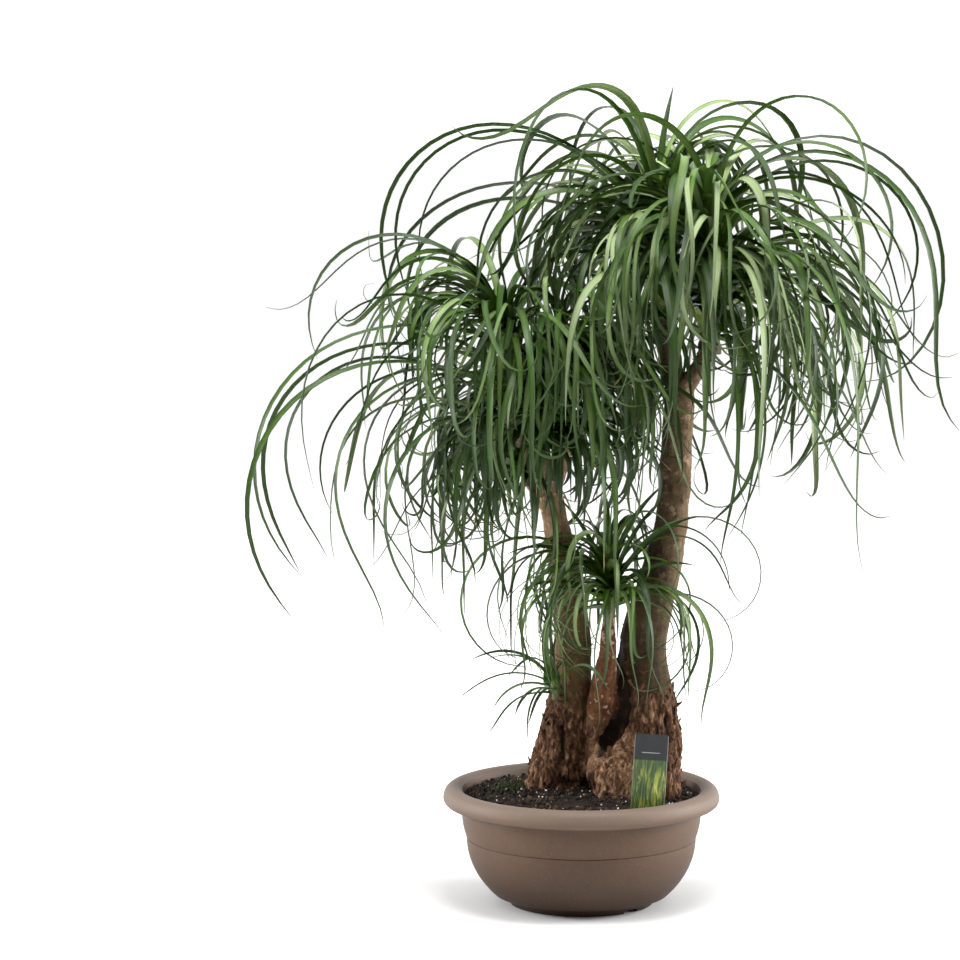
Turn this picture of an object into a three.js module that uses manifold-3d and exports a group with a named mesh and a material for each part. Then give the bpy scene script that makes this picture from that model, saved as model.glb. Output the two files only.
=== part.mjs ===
// A potted ponytail palm: a bowl pot, soil, two swollen trunks grown as one, seven heads of leaves, a label.
// Millimetres, +Z up. The origin is the middle of the pot's underside, on the surface that it stands on.
import * as THREE from "three";
import { mergeVertices } from "three/addons/utils/BufferGeometryUtils.js";
import Module from "manifold-3d";

const wasm = await Module();
wasm.setup();

// Gap that is left between pieces that touch.
const SEAT_GAP = 0.3;

// Pot: radii and heights of a round bowl on a foot ring, with a rolled rim.
const ROUND_SIDES = 32;
const WALL = 2.5;
const FOOT_HEIGHT = 9;
const FOOT_RADIUS = 79;
const FOOT_TOP_RADIUS = 87;
const FOOT_RING_WIDTH = 4;
const FLOOR_UNDERSIDE = 6.5;
const FLOOR_TOP = 10;
const HUB_RADIUS = 16;
const BOWL_RADIUS = 124.8;
const BOWL_DEPTH = 95;
const BOWL_STEPS = 4;
const LINE_HEIGHT = 72;
const LINE_DEPTH = 1.2;
const NECK_RADIUS = 129.2;
const NECK_HEIGHT = 88;
const NECK_TOP_RADIUS = 130.2;
const LIP_RADIUS = 143.6;
const LIP_HEIGHT = 105;
const RIM_RADIUS = 150;
const RIM_WIDEST_LOW = 112;
const RIM_WIDEST_HIGH = 118;
const CREST_RADIUS = 141.5;
const CREST_HEIGHT = 129.5;
const MOUTH_RADIUS = 129.8;
const MOUTH_HEIGHT = 125;
const RIM_SHOULDER = [147, 125.6];
const RIM_DIP = [134.5, 128.7];
const LIP_TURN = 1.5;
const FLOOR_CORNER = 5;
const NOTCH_COUNT = 3;
const NOTCH_FIRST_DEG = -49.5;
const NOTCH_WIDTH = 18;
const NOTCH_HEIGHT = 4.5;
const DRAIN_COUNT = 4;
const DRAIN_RADIUS = 5;
const DRAIN_CIRCLE = 48;
const DRAIN_SIDES = 10;

// Soil: heaped a little round the trunks.
const SOIL_EDGE_HEIGHT = 116.5;
const SOIL_HEAP = 11.5;
const SOIL_RINGS = [126.4, 104, 76, 42];
const SOIL_BUMP = 2.2;

// Label: a plate on a pointed stake, pushed into the soil by the rim.
const LABEL_WIDTH = 36;
const LABEL_THICK = 1.2;
const LABEL_TOP = 88;
const LABEL_SHOULDER = -6;
const LABEL_POINT = -44;
const LABEL_STAKE_WIDTH = 9;
const LABEL_CORNER = 2.5;
const LABEL_PLACE = [67, -93, 112];
const LABEL_LEAN_DEG = 3.4;
const LABEL_BACK_DEG = 4;

// Trunks: stations [x, y, z, radius] from the root up. Both stand in the soil as one grown piece.
const LEFT_TRUNK = [
  [-30, 14, 62, 30], [-27, 14, 96, 40], [-24, 13, 128, 38], [-20, 12, 160, 33], [-14, 11, 200, 27.5],
  [-9.5, 10, 240, 21.5], [-9, 9, 283, 20], [-14, 8, 327, 19.3], [-20.5, 7, 372, 16.8], [-28, 5, 412, 14.5],
  [-34, 4, 448, 12.6], [-39, 4, 487, 11.2],
];
const RIGHT_TRUNK = [
  [58, -4, 62, 36], [60, -5, 96, 48], [61, -6, 130, 48.5], [65.5, -4, 160, 42.5], [69.5, -2, 190, 37],
  [68.5, 0, 222, 34], [65, 2, 255, 28.5], [66.5, 3, 290, 26], [76, 4, 327, 24.6], [88, 4, 371, 21],
  [96, 3, 412, 18.2], [99.6, 2, 450, 17.6], [101.5, 1, 500, 17], [104, 0, 545, 16.6], [104, 0, 572, 14.5],
];
const FRONT_BULGE = [
  [36, -20, 70, 20], [36.5, -24, 98, 24], [37, -27, 114, 28], [37, -27, 131, 32], [37, -27, 148, 33.5],
  [36, -25, 164, 27.5], [35, -19, 178, 18],
];
const MIDDLE_STEM = [
  [8, 8, 110, 25], [11, 4, 150, 23], [14, -2, 176, 18], [18.5, -11, 196, 15.2], [20.3, -16, 212, 17],
  [22.6, -20, 236, 16], [25.6, -25, 261, 12.3], [27.3, -28, 287, 9], [28.2, -28, 309, 7.2],
  [28.6, -28, 322, 6.8],
];
const LIMBS = [
  [[105, 0, 552, 13], [98, 3, 578, 12], [90, 6, 600, 11.5], [88, 7, 617, 11]],
  [[104, 0, 552, 13], [117, -6, 574, 12], [130, -11, 592, 11.5], [135, -13, 604, 11]],
  [[-36, 2, 436, 9], [-46, -3, 466, 9.5], [-56, -8, 490, 9.5], [-60, -10, 504, 9]],
  [[-35, 6, 440, 9], [-25, 3, 468, 9], [-21, 0, 492, 9], [-21, -1, 506, 8.5]],
  [[-33, 4, 420, 7], [-45, 9, 438, 7], [-54, 12, 452, 6.5], [-56, 13, 460, 6.5]],
  [[-12, 2, 206, 8], [-19, -9, 217, 7], [-24, -16, 225, 6], [-27, -19, 231, 5.5]],
];
const TRUNK_SIDES = 14;
const STEM_SIDES = 9;
const LIMB_SIDES = 8;
const CORKY_UNTIL = 225;
const CORK_RELIEF = 6;
const BARK_RELIEF = 1.2;

// Heads of leaves: where the leaf-bearing stem starts and ends, and how the leaves' length and first angle
// change from the oldest, at its foot, to the youngest, at its top. Fall is the angle at the tip, from a leaf
// that folds over and hangs to one that curls under. Angles are above the horizon, in degrees.
const HEADS = [
  { name: "leaves_right_back", foot: [88, 7, 617.3], top: [79, 10, 748], radius: [13, 6], count: 44,
    length: [360, 340], width: 10, rise: [48, 87], fall: [-95, -155], turn: 20 },
  { name: "leaves_right_front", foot: [135, -13, 604.3], top: [138, -18, 738], radius: [13, 6], count: 46,
    length: [360, 340], width: 10, rise: [48, 87], fall: [-95, -155], turn: 95 },
  { name: "leaves_left_back", foot: [-60, -10, 504.3], top: [-88, -16, 618], radius: [12, 6], count: 43,
    length: [340, 310], width: 8.5, rise: [36, 86], fall: [-95, -155], turn: 160 },
  { name: "leaves_left_front", foot: [-21, -1, 506.3], top: [-22, -6, 590], radius: [11, 5.5], count: 36,
    length: [290, 270], width: 7.5, rise: [35, 86], fall: [-95, -155], turn: 250 },
  { name: "leaves_left_low", foot: [-56, 13, 460.3], top: [-68, 17, 492], radius: [8.5, 5], count: 12,
    length: [220, 230], width: 6.5, rise: [10, 78], fall: [-95, -155], turn: 310 },
  { name: "leaves_middle", foot: [28.6, -28, 322.3], top: [27, -29, 376], radius: [7, 4.5], count: 26,
    length: [230, 200], width: 7, rise: [25, 84], fall: [-120, -170], turn: 40 },
  { name: "leaves_low_tuft", foot: [-27, -19, 231.3], top: [-32, -23, 250], radius: [5.5, 3.5], count: 7,
    length: [115, 125], width: 5.5, rise: [0, 65], fall: [-60, -80], turn: 200 },
];

// The long leaves that draw each head's outline: [up the stem, heading, rise, fall, length, late, flick].
const OUTER_LEAVES = [
  [
    [0.58, 236, 87, -112, 541, 1.43, -15], [0.81, 127, 59, -87, 379, 2, -57],
    [0.82, 120, 86, -144, 350, 1.84, 58], [0.93, 175, 49, -154, 492, 1.88, 49],
    [0.83, 183, 53, -140, 454, 1.89, 32], [0.97, 176, 52, -116, 397, 1.58, 13],
    [0.75, 154, 46, -55, 440, 1.03, -60], [0.78, 155, 23, -79, 400, 1.98, -41],
    [0.97, 60, 88, 60, 147, 1.5, 0],
  ],
  [
    [0.97, -43, 87, -136, 410, 1.52, 2], [0.97, 24, 87, -126, 600, 0.86, -60],
    [0.97, -5, 87, -118, 356, 1.12, -5], [0.97, -7, 87, -149, 512, 0.91, 97],
    [0.97, -1, 58, -129, 381, 1.35, -3], [0.97, -23, 80, -117, 353, 0.91, 59],
    [0.97, -24, 87, -61, 291, 0.67, -25], [0.97, -40, 51, -149, 448, 0.96, 23],
    [0.59, 40, 22, -95, 277, 0.91, -47], [0.5, -62, 42, -150, 540, 1.2, 85],
    [0.1, -50, -5, -95, 330, 1.2, 110],
  ],
  [
    [0.24, 182, 87, -117, 447, 1.89, 9], [0.05, 213, 74, -143, 506, 1.67, 38],
    [0.97, 204, 15, -150, 492, 1.78, 19], [0.69, 175, 21, -160, 468, 1.77, 43],
    [0.48, 209, 22, -155, 534, 1.87, 26], [0.49, 193, 26, -185, 433, 1.36, 92],
    [0.3, 179, 61, -185, 411, 1.03, 86], [0.12, 175, 44, -185, 464, 1.84, 67],
    [0.34, 186, 43, -101, 328, 1.25, -14],
  ],
  [
    [0.12, 255, 25, -115, 185, 1.1, 60], [0.3, 305, 40, -135, 230, 1.2, -40],
    [0.2, 230, 20, -120, 225, 1.1, -60],
  ],
  [[0.6, 195, 75, -160, 270, 1.2, 40]],
  [
    [0.37, 170, 65, -170, 340, 1.3, -10], [0.8, 195, 41, -155, 270, 1.3, -50],
    [0.59, 215, 34, -175, 210, 1.7, 70], [0.2, -12, 72, -165, 330, 1.7, -10],
    [0.6, -28, 64, -120, 225, 1.7, 25], [0.75, -55, 77, -185, 255, 1.7, 50],
  ],
  [
    [0.6, 190, 34, -56, 118, 1.2, 25], [0.5, 205, 62, -20, 95, 1.3, 10], [0.8, 100, 80, 20, 120, 1.5, 0],
    [0.3, 150, 20, -60, 90, 1.2, 0], [0.2, 240, 30, -80, 75, 1.1, 30], [0.9, 20, 70, -40, 70, 1.3, 0],
    [0.7, 275, 60, -70, 70, 1.2, 20],
  ],
];

// Blades: three-sided, with a keel below.
const BLADE_RINGS = 6;
const PATH_STEPS = 24;
const BLADE_THICK = 1.5;
const TAPER_START = 1.8;
const TAPER_END = 0.8;
const WAIST_SHARE = 0.35;
const WAIST_LENGTH = 12;
const FLICK_LATE = 6;
const ROOT_OFFSET = 0.25;
const TURN_PER_LEAF_DEG = 137.5;
const CORE_SIDES = 6;
const CORE_WAIST = 0.35;
const FIRST_LEAF_UP = 0.04;
const LAST_LEAF_UP = 0.97;
const EARLY_RISE = 0.75;

// How a leaf may stray from its place's rule: angles in degrees either way, sizes as the least share and the
// spread, bends from the leaf that hangs to the leaf that curls.
const STRAY = { heading: 16, rise: 10, fall: 20, drift: 80, twist: 85 };
const STEEPEST_RISE = 88;
const LENGTH_SHARE = [0.55, 0.6];
const WIDTH_SHARE = [0.88, 0.24];
const LATE_BEND = [2.1, 1];
const HANG_BEND = [2.2, 1.1];
const OUTER_HANG = 1.15;
const TIP_FLICK = [-70, 130];
const OUTER_STRAY = 0.5;
const OUTER_STRAY_STEPS = 4;
const STRAY_GROWTH = 1 / 40;
const SHRINK_PER_TRY = 1 / 260;

// Tests of a new blade: its margin, its tries, and the box that the whole plant keeps to.
const TEST_MARGIN = 0.5;
const TRIES = 90;
const OWN_TRIES = 14;
const OWN_GAP = 0.8;
const CLOSE = 4;
const PLANT_BOX = new THREE.Box3(new THREE.Vector3(-382, -300, 12), new THREE.Vector3(412, 285, 895));

// Looks, as plain colours.
const FINISHES = {
  pot: { color: 0x857264, roughness: 0.62, metalness: 0 },
  soil: { color: 0x2b1f18, roughness: 0.96, metalness: 0 },
  bark: { color: 0x7a5a40, roughness: 0.92, metalness: 0 },
  leaf: { color: 0x2f5a2c, roughness: 0.5, metalness: 0 },
  label: { color: 0x4a5250, roughness: 0.45, metalness: 0 },
};

const radians = THREE.MathUtils.degToRad;
const mix = THREE.MathUtils.lerp;

// A number from 0 to 1 that depends only on the whole numbers given, so that any draw can be made again.
function draw(...keys) {
  let mixed = 2166136261;
  for (const key of keys) {
    mixed = Math.imul(mixed ^ (key + 1), 16777619);
    mixed ^= mixed >>> 15;
    mixed = Math.imul(mixed, 2246822519);
    mixed ^= mixed >>> 13;
  }
  return (mixed >>> 0) / 4294967296;
}

// A geometry as a solid, with its shared corners merged.
function solidOf(geometry) {
  const bare = new THREE.BufferGeometry();
  bare.setAttribute("position", geometry.getAttribute("position"));
  bare.setIndex(geometry.index);
  const merged = mergeVertices(bare, 1e-4);
  const kept = [];
  const corners = merged.index.array;
  for (let i = 0; i < corners.length; i += 3) {
    const [a, b, c] = corners.subarray(i, i + 3);
    if (a !== b && b !== c && c !== a) kept.push(a, b, c);
  }
  return new wasm.Manifold(
    new wasm.Mesh({
      numProp: 3,
      vertProperties: merged.getAttribute("position").array,
      triVerts: Uint32Array.from(kept),
    }),
  );
}

// A named mesh from a solid.
function meshOf(name, solid, finish) {
  const { vertProperties, triVerts } = solid.getMesh();
  const geometry = new THREE.BufferGeometry();
  geometry.setAttribute("position", new THREE.BufferAttribute(vertProperties, 3));
  geometry.setIndex(new THREE.BufferAttribute(triVerts, 1));
  geometry.computeVertexNormals();
  const mesh = new THREE.Mesh(geometry, new THREE.MeshStandardMaterial(FINISHES[finish]));
  mesh.name = name;
  return mesh;
}

// Moves every corner of a geometry by a function from its old place to its new one.
function reshape(geometry, place) {
  const corners = geometry.getAttribute("position");
  const corner = new THREE.Vector3();
  for (let i = 0; i < corners.count; i++) {
    corner.fromBufferAttribute(corners, i);
    corners.setXYZ(i, ...place(corner).toArray());
  }
  return geometry;
}

// A lathed solid about +Z from a profile of [radius, height] that starts and ends on the axis.
function turned(profile) {
  const outline = profile.map(([r, z]) => new THREE.Vector2(r, z));
  return solidOf(new THREE.LatheGeometry(outline, ROUND_SIDES).rotateX(Math.PI / 2));
}

// Radius of the bowl's outside at a height under its line.
function bowlRadius(z) {
  return BOWL_RADIUS * Math.sqrt(1 - ((LINE_HEIGHT - z) / BOWL_DEPTH) ** 2);
}

// The pot's inside from the floor up, drawn in by inset.
function insideProfile(inset) {
  const profile = [[0, FLOOR_TOP + inset]];
  for (let i = 0; i < BOWL_STEPS; i++) {
    const z = mix(FLOOR_TOP + inset, LINE_HEIGHT, i / (BOWL_STEPS - 1));
    profile.push([bowlRadius(z) - WALL - (i ? 0 : FLOOR_CORNER) - inset, z]);
  }
  profile.push([NECK_RADIUS - WALL - inset, NECK_HEIGHT]);
  return profile;
}

// The pot: one turned shell, less the notches in its foot and the drain holes.
function potSolid() {
  const outside = [
    [0, 0],
    [HUB_RADIUS, 0],
    [HUB_RADIUS, FLOOR_UNDERSIDE],
    [FOOT_RADIUS - FOOT_RING_WIDTH, FLOOR_UNDERSIDE],
    [FOOT_RADIUS - FOOT_RING_WIDTH, 0],
    [FOOT_RADIUS, 0],
    [FOOT_TOP_RADIUS, FOOT_HEIGHT],
  ];
  for (let i = 0; i < BOWL_STEPS; i++) {
    const z = mix(FOOT_HEIGHT + 1, LINE_HEIGHT - LINE_DEPTH, i / (BOWL_STEPS - 1));
    outside.push([bowlRadius(z), z]);
  }
  outside.push(
    [BOWL_RADIUS - LINE_DEPTH, LINE_HEIGHT],
    [BOWL_RADIUS + LINE_DEPTH, LINE_HEIGHT + LINE_DEPTH],
    [NECK_RADIUS, NECK_HEIGHT],
    [NECK_TOP_RADIUS, LIP_HEIGHT],
    [NECK_TOP_RADIUS, MOUTH_HEIGHT - WALL],
    [CREST_RADIUS - WALL, CREST_HEIGHT - WALL],
    [RIM_RADIUS - WALL, RIM_WIDEST_HIGH],
    [LIP_RADIUS - LIP_TURN, LIP_HEIGHT + LIP_TURN],
    [LIP_RADIUS, LIP_HEIGHT],
    [RIM_RADIUS, RIM_WIDEST_LOW],
    [RIM_RADIUS, RIM_WIDEST_HIGH],
    RIM_SHOULDER,
    [CREST_RADIUS, CREST_HEIGHT],
    RIM_DIP,
    [MOUTH_RADIUS, MOUTH_HEIGHT],
  );
  let pot = turned([...outside, ...insideProfile(0).reverse()]);
  for (let i = 0; i < NOTCH_COUNT; i++) {
    const notch = new THREE.BoxGeometry(4 * FOOT_RING_WIDTH, NOTCH_WIDTH, 2 * NOTCH_HEIGHT);
    notch.translate(FOOT_RADIUS, 0, 0).rotateZ(radians(NOTCH_FIRST_DEG + (360 * i) / NOTCH_COUNT));
    pot = pot.subtract(solidOf(notch));
  }
  for (let i = 0; i < DRAIN_COUNT; i++) {
    const drain = new THREE.CylinderGeometry(DRAIN_RADIUS, DRAIN_RADIUS, 4 * FLOOR_TOP, DRAIN_SIDES);
    drain.rotateX(Math.PI / 2).translate(DRAIN_CIRCLE, 0, 0).rotateZ((Math.PI * 2 * (i + 0.5)) / DRAIN_COUNT);
    pot = pot.subtract(solidOf(drain));
  }
  return pot;
}

// Height of the soil at a distance from the middle, before its small bumps.
function soilHeight(radius) {
  return SOIL_EDGE_HEIGHT + SOIL_HEAP * (1 - (radius / SOIL_RINGS[0]) ** 2);
}

// Soil that fills the pot, with plain holes where the trunks and the label's stake stand in it.
function soilSolid(holes) {
  const side = insideProfile(SEAT_GAP);
  const top = SOIL_RINGS.map((r) => [r, soilHeight(r)]);
  const outline = [...side, ...top, [0, soilHeight(0)]].map(([r, z]) => new THREE.Vector2(r, z));
  const geometry = new THREE.LatheGeometry(outline, ROUND_SIDES).rotateX(Math.PI / 2);
  const firstRing = side.length + 1;
  const perTurn = outline.length;
  let index = 0;
  reshape(geometry, (corner) => {
    const ring = index % perTurn;
    const turn = Math.floor(index / perTurn) % ROUND_SIDES;
    index++;
    if (ring >= firstRing && ring < perTurn - 1) corner.z += SOIL_BUMP * (draw(7, ring, turn) - 0.5);
    return corner;
  });
  return holes.reduce((soil, hole) => soil.subtract(hole), solidOf(geometry));
}

// A limb through stations [x, y, z, radius] with level rings. Relief roughens it and grow widens it.
function limb(stations, { sides, steps, seed, relief, grow = 0 }) {
  const path = new THREE.CatmullRomCurve3(stations.map(([x, y, z]) => new THREE.Vector3(x, y, z)));
  const girth = new THREE.CatmullRomCurve3(stations.map(([, , , r]) => new THREE.Vector3(r, 0, 0)));
  const geometry = new THREE.CylinderGeometry(1, 1, 1, sides, steps);
  reshape(geometry, ({ x, y, z }) => {
    const step = Math.round((y + 0.5) * steps);
    const side = (Math.round((Math.atan2(x, z) / (2 * Math.PI)) * sides) + sides) % sides;
    const middle = path.getPoint(step / steps);
    const inner = step > 0 && step < steps;
    const rough = relief && inner ? relief(middle.z) * (draw(seed, step, side) - 0.5) : 0;
    const radius = (girth.getPoint(step / steps).x + rough + grow) * Math.round(Math.hypot(x, z));
    const angle = (side / sides) * 2 * Math.PI;
    const end = inner ? 0 : grow * Math.sign(step - 0.5);
    return middle.add(new THREE.Vector3(radius * Math.cos(angle), radius * Math.sin(angle), end));
  });
  return solidOf(geometry);
}

// How rough the bark is at a height: corky low down, smooth above.
function barkRelief(z) {
  return z < CORKY_UNTIL ? CORK_RELIEF : BARK_RELIEF;
}

// Trunks, bulge, middle stem and limbs as one solid. With grow it is the shape that the soil leaves free.
function trunkSolid(grow = 0) {
  const pieces = [
    limb(LEFT_TRUNK, { sides: TRUNK_SIDES, steps: 15, seed: 11, relief: barkRelief, grow }),
    limb(RIGHT_TRUNK, { sides: TRUNK_SIDES, steps: 18, seed: 12, relief: barkRelief, grow }),
    limb(FRONT_BULGE, { sides: TRUNK_SIDES - 2, steps: 7, seed: 13, relief: barkRelief, grow }),
    limb(MIDDLE_STEM, { sides: STEM_SIDES, steps: 8, seed: 14, relief: () => BARK_RELIEF, grow }),
    ...LIMBS.map((stations, i) => limb(stations, { sides: LIMB_SIDES, steps: 3, seed: 20 + i, grow })),
  ];
  return wasm.Manifold.union(pieces);
}

// The label's face: a plate with rounded top corners on a pointed stake.
function labelOutline() {
  const half = LABEL_WIDTH / 2;
  const stake = LABEL_STAKE_WIDTH / 2;
  const outline = new THREE.Shape();
  outline.moveTo(0, LABEL_POINT);
  outline.lineTo(stake, LABEL_POINT + LABEL_STAKE_WIDTH);
  outline.lineTo(stake, LABEL_SHOULDER - 2 * stake);
  outline.lineTo(half, LABEL_SHOULDER);
  outline.lineTo(half, LABEL_TOP - LABEL_CORNER);
  outline.absarc(half - LABEL_CORNER, LABEL_TOP - LABEL_CORNER, LABEL_CORNER, 0, Math.PI / 2);
  outline.absarc(LABEL_CORNER - half, LABEL_TOP - LABEL_CORNER, LABEL_CORNER, Math.PI / 2, Math.PI);
  outline.lineTo(-half, LABEL_SHOULDER);
  outline.lineTo(-stake, LABEL_SHOULDER - 2 * stake);
  outline.lineTo(-stake, LABEL_POINT + LABEL_STAKE_WIDTH);
  return outline;
}

// The label as a solid, thicker and wider by grow on every side.
function labelSolid(grow = 0) {
  const depth = LABEL_THICK + 2 * grow;
  const drawing = { depth, bevelEnabled: false, curveSegments: 3 };
  const geometry = new THREE.ExtrudeGeometry(labelOutline(), drawing);
  geometry.translate(0, 0, -depth / 2).scale(1 + (2 * grow) / LABEL_STAKE_WIDTH, 1, 1).translate(0, -grow, 0);
  geometry.rotateX(Math.PI / 2 - radians(LABEL_BACK_DEG)).rotateY(radians(LABEL_LEAN_DEG));
  return solidOf(geometry.translate(...LABEL_PLACE));
}

// The leaf's angle above the horizon at a share t of its length: it bends most in the middle, its tip flicks.
function leafAngle(leaf, t) {
  const bent = 1 - (1 - t ** leaf.late) ** leaf.hang;
  return radians(mix(leaf.rise, leaf.fall, bent) + leaf.flick * t ** FLICK_LATE);
}

// The leaf's middle line as points, each with the directions along, across and up from its face.
function leafPath(leaf) {
  const path = [];
  const at = leaf.root.clone();
  for (let i = 0; i <= PATH_STEPS; i++) {
    const t = i / PATH_STEPS;
    const angle = leafAngle(leaf, t);
    const heading = radians(leaf.heading + leaf.drift * t * t);
    const along = new THREE.Vector3(
      Math.cos(angle) * Math.cos(heading),
      Math.cos(angle) * Math.sin(heading),
      Math.sin(angle),
    );
    const level = new THREE.Vector3(-Math.sin(heading), Math.cos(heading), 0);
    const up = new THREE.Vector3().crossVectors(along, level);
    const twist = radians(leaf.twist * t);
    const across = level.clone().multiplyScalar(Math.cos(twist)).addScaledVector(up, Math.sin(twist));
    const face = up.multiplyScalar(Math.cos(twist)).addScaledVector(level, -Math.sin(twist));
    if (i) at.addScaledVector(along, leaf.length / PATH_STEPS);
    path.push({ point: at.clone(), across, face, t });
  }
  return path;
}

// A blade is a little narrower at its root, widest soon after, and tapers to its tip.
function leafWidth(leaf, t) {
  return leaf.width * (1 - t ** TAPER_START) ** TAPER_END * (1 - WAIST_SHARE * (1 - t) ** WAIST_LENGTH);
}

// A leaf as a slim three-sided blade along its path, keel down, thicker by grow all round.
function leafSolid(leaf, path, grow = 0) {
  const geometry = new THREE.ConeGeometry(1, 1, 3, BLADE_RINGS);
  reshape(geometry, ({ x, y, z }) => {
    const ring = path[Math.round((y + 0.5) * PATH_STEPS)];
    const corner = Math.hypot(x, z) > 1e-6 ? Math.round(Math.atan2(x, z) / (Math.PI / 1.5)) : 0;
    const half = ring.t < 1 ? leafWidth(leaf, ring.t) / 2 + grow : 0;
    const down = corner || ring.t === 1 ? -grow : BLADE_THICK + grow;
    return ring.point.clone().addScaledVector(ring.across, corner * half).addScaledVector(ring.face, -down);
  });
  return solidOf(geometry);
}

// The leaf that a head bears at a place in its spiral. Later tries turn and bend it further from the first.
function grownLeaf(head, headNumber, place, attempt) {
  const chance = (channel) => draw(headNumber, place, attempt, channel);
  const swing = (channel) => 2 * chance(channel) - 1;
  const outer = OUTER_LEAVES[headNumber][place];
  const values = outer ?? spiralLeaf(head, headNumber, place, chance);
  const [up, turn, rise, fall, length, late, flick, hang = OUTER_HANG] = values;
  const strays = outer ? OUTER_STRAY * Math.min(attempt, OUTER_STRAY_STEPS) : 1;
  const loose = strays * (1 + attempt * STRAY_GROWTH);
  const heading = turn + STRAY.heading * loose * swing(1);
  return {
    heading,
    rise: Math.min(STEEPEST_RISE, rise + STRAY.rise * loose * swing(2)),
    fall: fall + STRAY.fall * loose * swing(3),
    length: length * (1 - attempt * SHRINK_PER_TRY),
    late,
    flick,
    hang,
    drift: STRAY.drift * loose * swing(7),
    twist: STRAY.twist * swing(8),
    width: head.width * share(WIDTH_SHARE, chance(9)),
    root: rootOf(head, up, heading),
  };
}

// The least value and its spread, at a chance from 0 to 1.
function share([least, spread], chance) {
  return least + spread * chance;
}

// What an ordinary leaf is like at its place in the spiral: the outer leaves' values in order, then its hang.
// Curl makes it anything from a leaf that folds over and hangs to one that bends evenly and curls under.
function spiralLeaf(head, headNumber, place, chance) {
  const first = OUTER_LEAVES[headNumber].length;
  const youth = (place - first + 0.5) / (head.count - first);
  const curl = chance(5);
  return [
    mix(FIRST_LEAF_UP, LAST_LEAF_UP, youth),
    head.turn + place * TURN_PER_LEAF_DEG,
    mix(head.rise[0], head.rise[1], youth ** EARLY_RISE),
    mix(head.fall[0], head.fall[1], curl),
    mix(head.length[0], head.length[1], youth) * share(LENGTH_SHARE, chance(4)),
    mix(LATE_BEND[0], LATE_BEND[1], curl),
    mix(TIP_FLICK[0], TIP_FLICK[1], chance(10)),
    mix(HANG_BEND[0], HANG_BEND[1], curl),
  ];
}

// Where a leaf starts: inside the head's stem, a little off its middle.
function rootOf(head, up, heading) {
  const root = new THREE.Vector3().fromArray(head.foot).lerp(new THREE.Vector3().fromArray(head.top), up);
  const off = ROOT_OFFSET * mix(head.radius[0], head.radius[1], up);
  const aside = new THREE.Vector3(Math.cos(radians(heading)), Math.sin(radians(heading)), 0);
  return root.addScaledVector(aside, off);
}

// A blade ready to be tested: its solid, its box, and its middle line as short straight pieces.
function bladeOf(headNumber, leaf) {
  const path = leafPath(leaf);
  const solid = leafSolid(leaf, path);
  const stride = PATH_STEPS / BLADE_RINGS;
  const lines = [];
  for (let i = 0; i < BLADE_RINGS; i++) {
    lines.push(new THREE.Line3(path[i * stride].point, path[(i + 1) * stride].point));
  }
  const box = new THREE.Box3().setFromPoints(path.map((ring) => ring.point)).expandByScalar(leaf.width);
  return { headNumber, leaf, path, solid, lines, box };
}

// Whether two blades' middle lines come closer than a distance, leaving out the first pieces by the stem.
function near(a, b, distance, first) {
  if (!a.box.intersectsBox(b.box)) return false;
  const limit = distance ** 2;
  for (const one of a.lines.slice(first)) {
    for (const other of b.lines.slice(first)) {
      if (one.distanceSqToLine3(other) < limit) return true;
    }
  }
  return false;
}

// Whether a blade is clear of every other head's leaves and stems, the trunks and the label.
function clearOfOthers(blade, placed, obstacles) {
  const tested = leafSolid(blade.leaf, blade.path, TEST_MARGIN);
  const reach = blade.leaf.width + CLOSE;
  for (const other of placed) {
    if (other.headNumber === blade.headNumber || !near(blade, other, reach, 0)) continue;
    if (!tested.intersect(other.solid).isEmpty()) return false;
  }
  return obstacles.every(
    ({ headNumber, solid, box }) =>
      headNumber === blade.headNumber || !box.intersectsBox(blade.box) || tested.intersect(solid).isEmpty(),
  );
}

// The box round a solid.
function boxOf(solid) {
  const { min, max } = solid.boundingBox();
  return new THREE.Box3(new THREE.Vector3(...min), new THREE.Vector3(...max));
}

// The slim stem that a head's leaves grow from, in the same piece as they are.
function headStem({ foot, top, radius }) {
  const middle = foot.map((value, axis) => mix(value, top[axis], 0.5));
  const waist = mix(radius[0], radius[1], CORE_WAIST);
  const stations = [[...foot, radius[0]], [...middle, waist], [...top, radius[1]]];
  return limb(stations, { sides: CORE_SIDES, steps: 2, seed: 0 });
}

// A solid without the small pockets that crossing blades may close off inside it.
function filled(solid) {
  const shells = solid.decompose().filter((shell) => shell.volume() > 0);
  return wasm.Manifold.compose(shells);
}

// Grows all heads together, a leaf of each in turn, and keeps for each place the first try that stays clear.
function growHeads(fixed) {
  const stems = HEADS.map(headStem);
  const obstacles = [
    ...fixed.map((solid) => ({ headNumber: -1, solid, box: boxOf(solid) })),
    ...stems.map((solid, headNumber) => ({ headNumber, solid, box: boxOf(solid) })),
  ];
  const placed = [];
  const most = Math.max(...HEADS.map((head) => head.count));
  for (let round = 0; round < most; round++) {
    HEADS.forEach((head, headNumber) => {
      const place = Math.floor((round * head.count) / most);
      if (round && place === Math.floor(((round - 1) * head.count) / most)) return;
      const blade = firstClear(head, headNumber, place, placed, obstacles);
      if (blade) placed.push(blade);
    });
  }
  return HEADS.map((head, headNumber) => {
    const blades = placed.filter((blade) => blade.headNumber === headNumber);
    return filled(wasm.Manifold.union([stems[headNumber], ...blades.map((blade) => blade.solid)]));
  });
}

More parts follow.
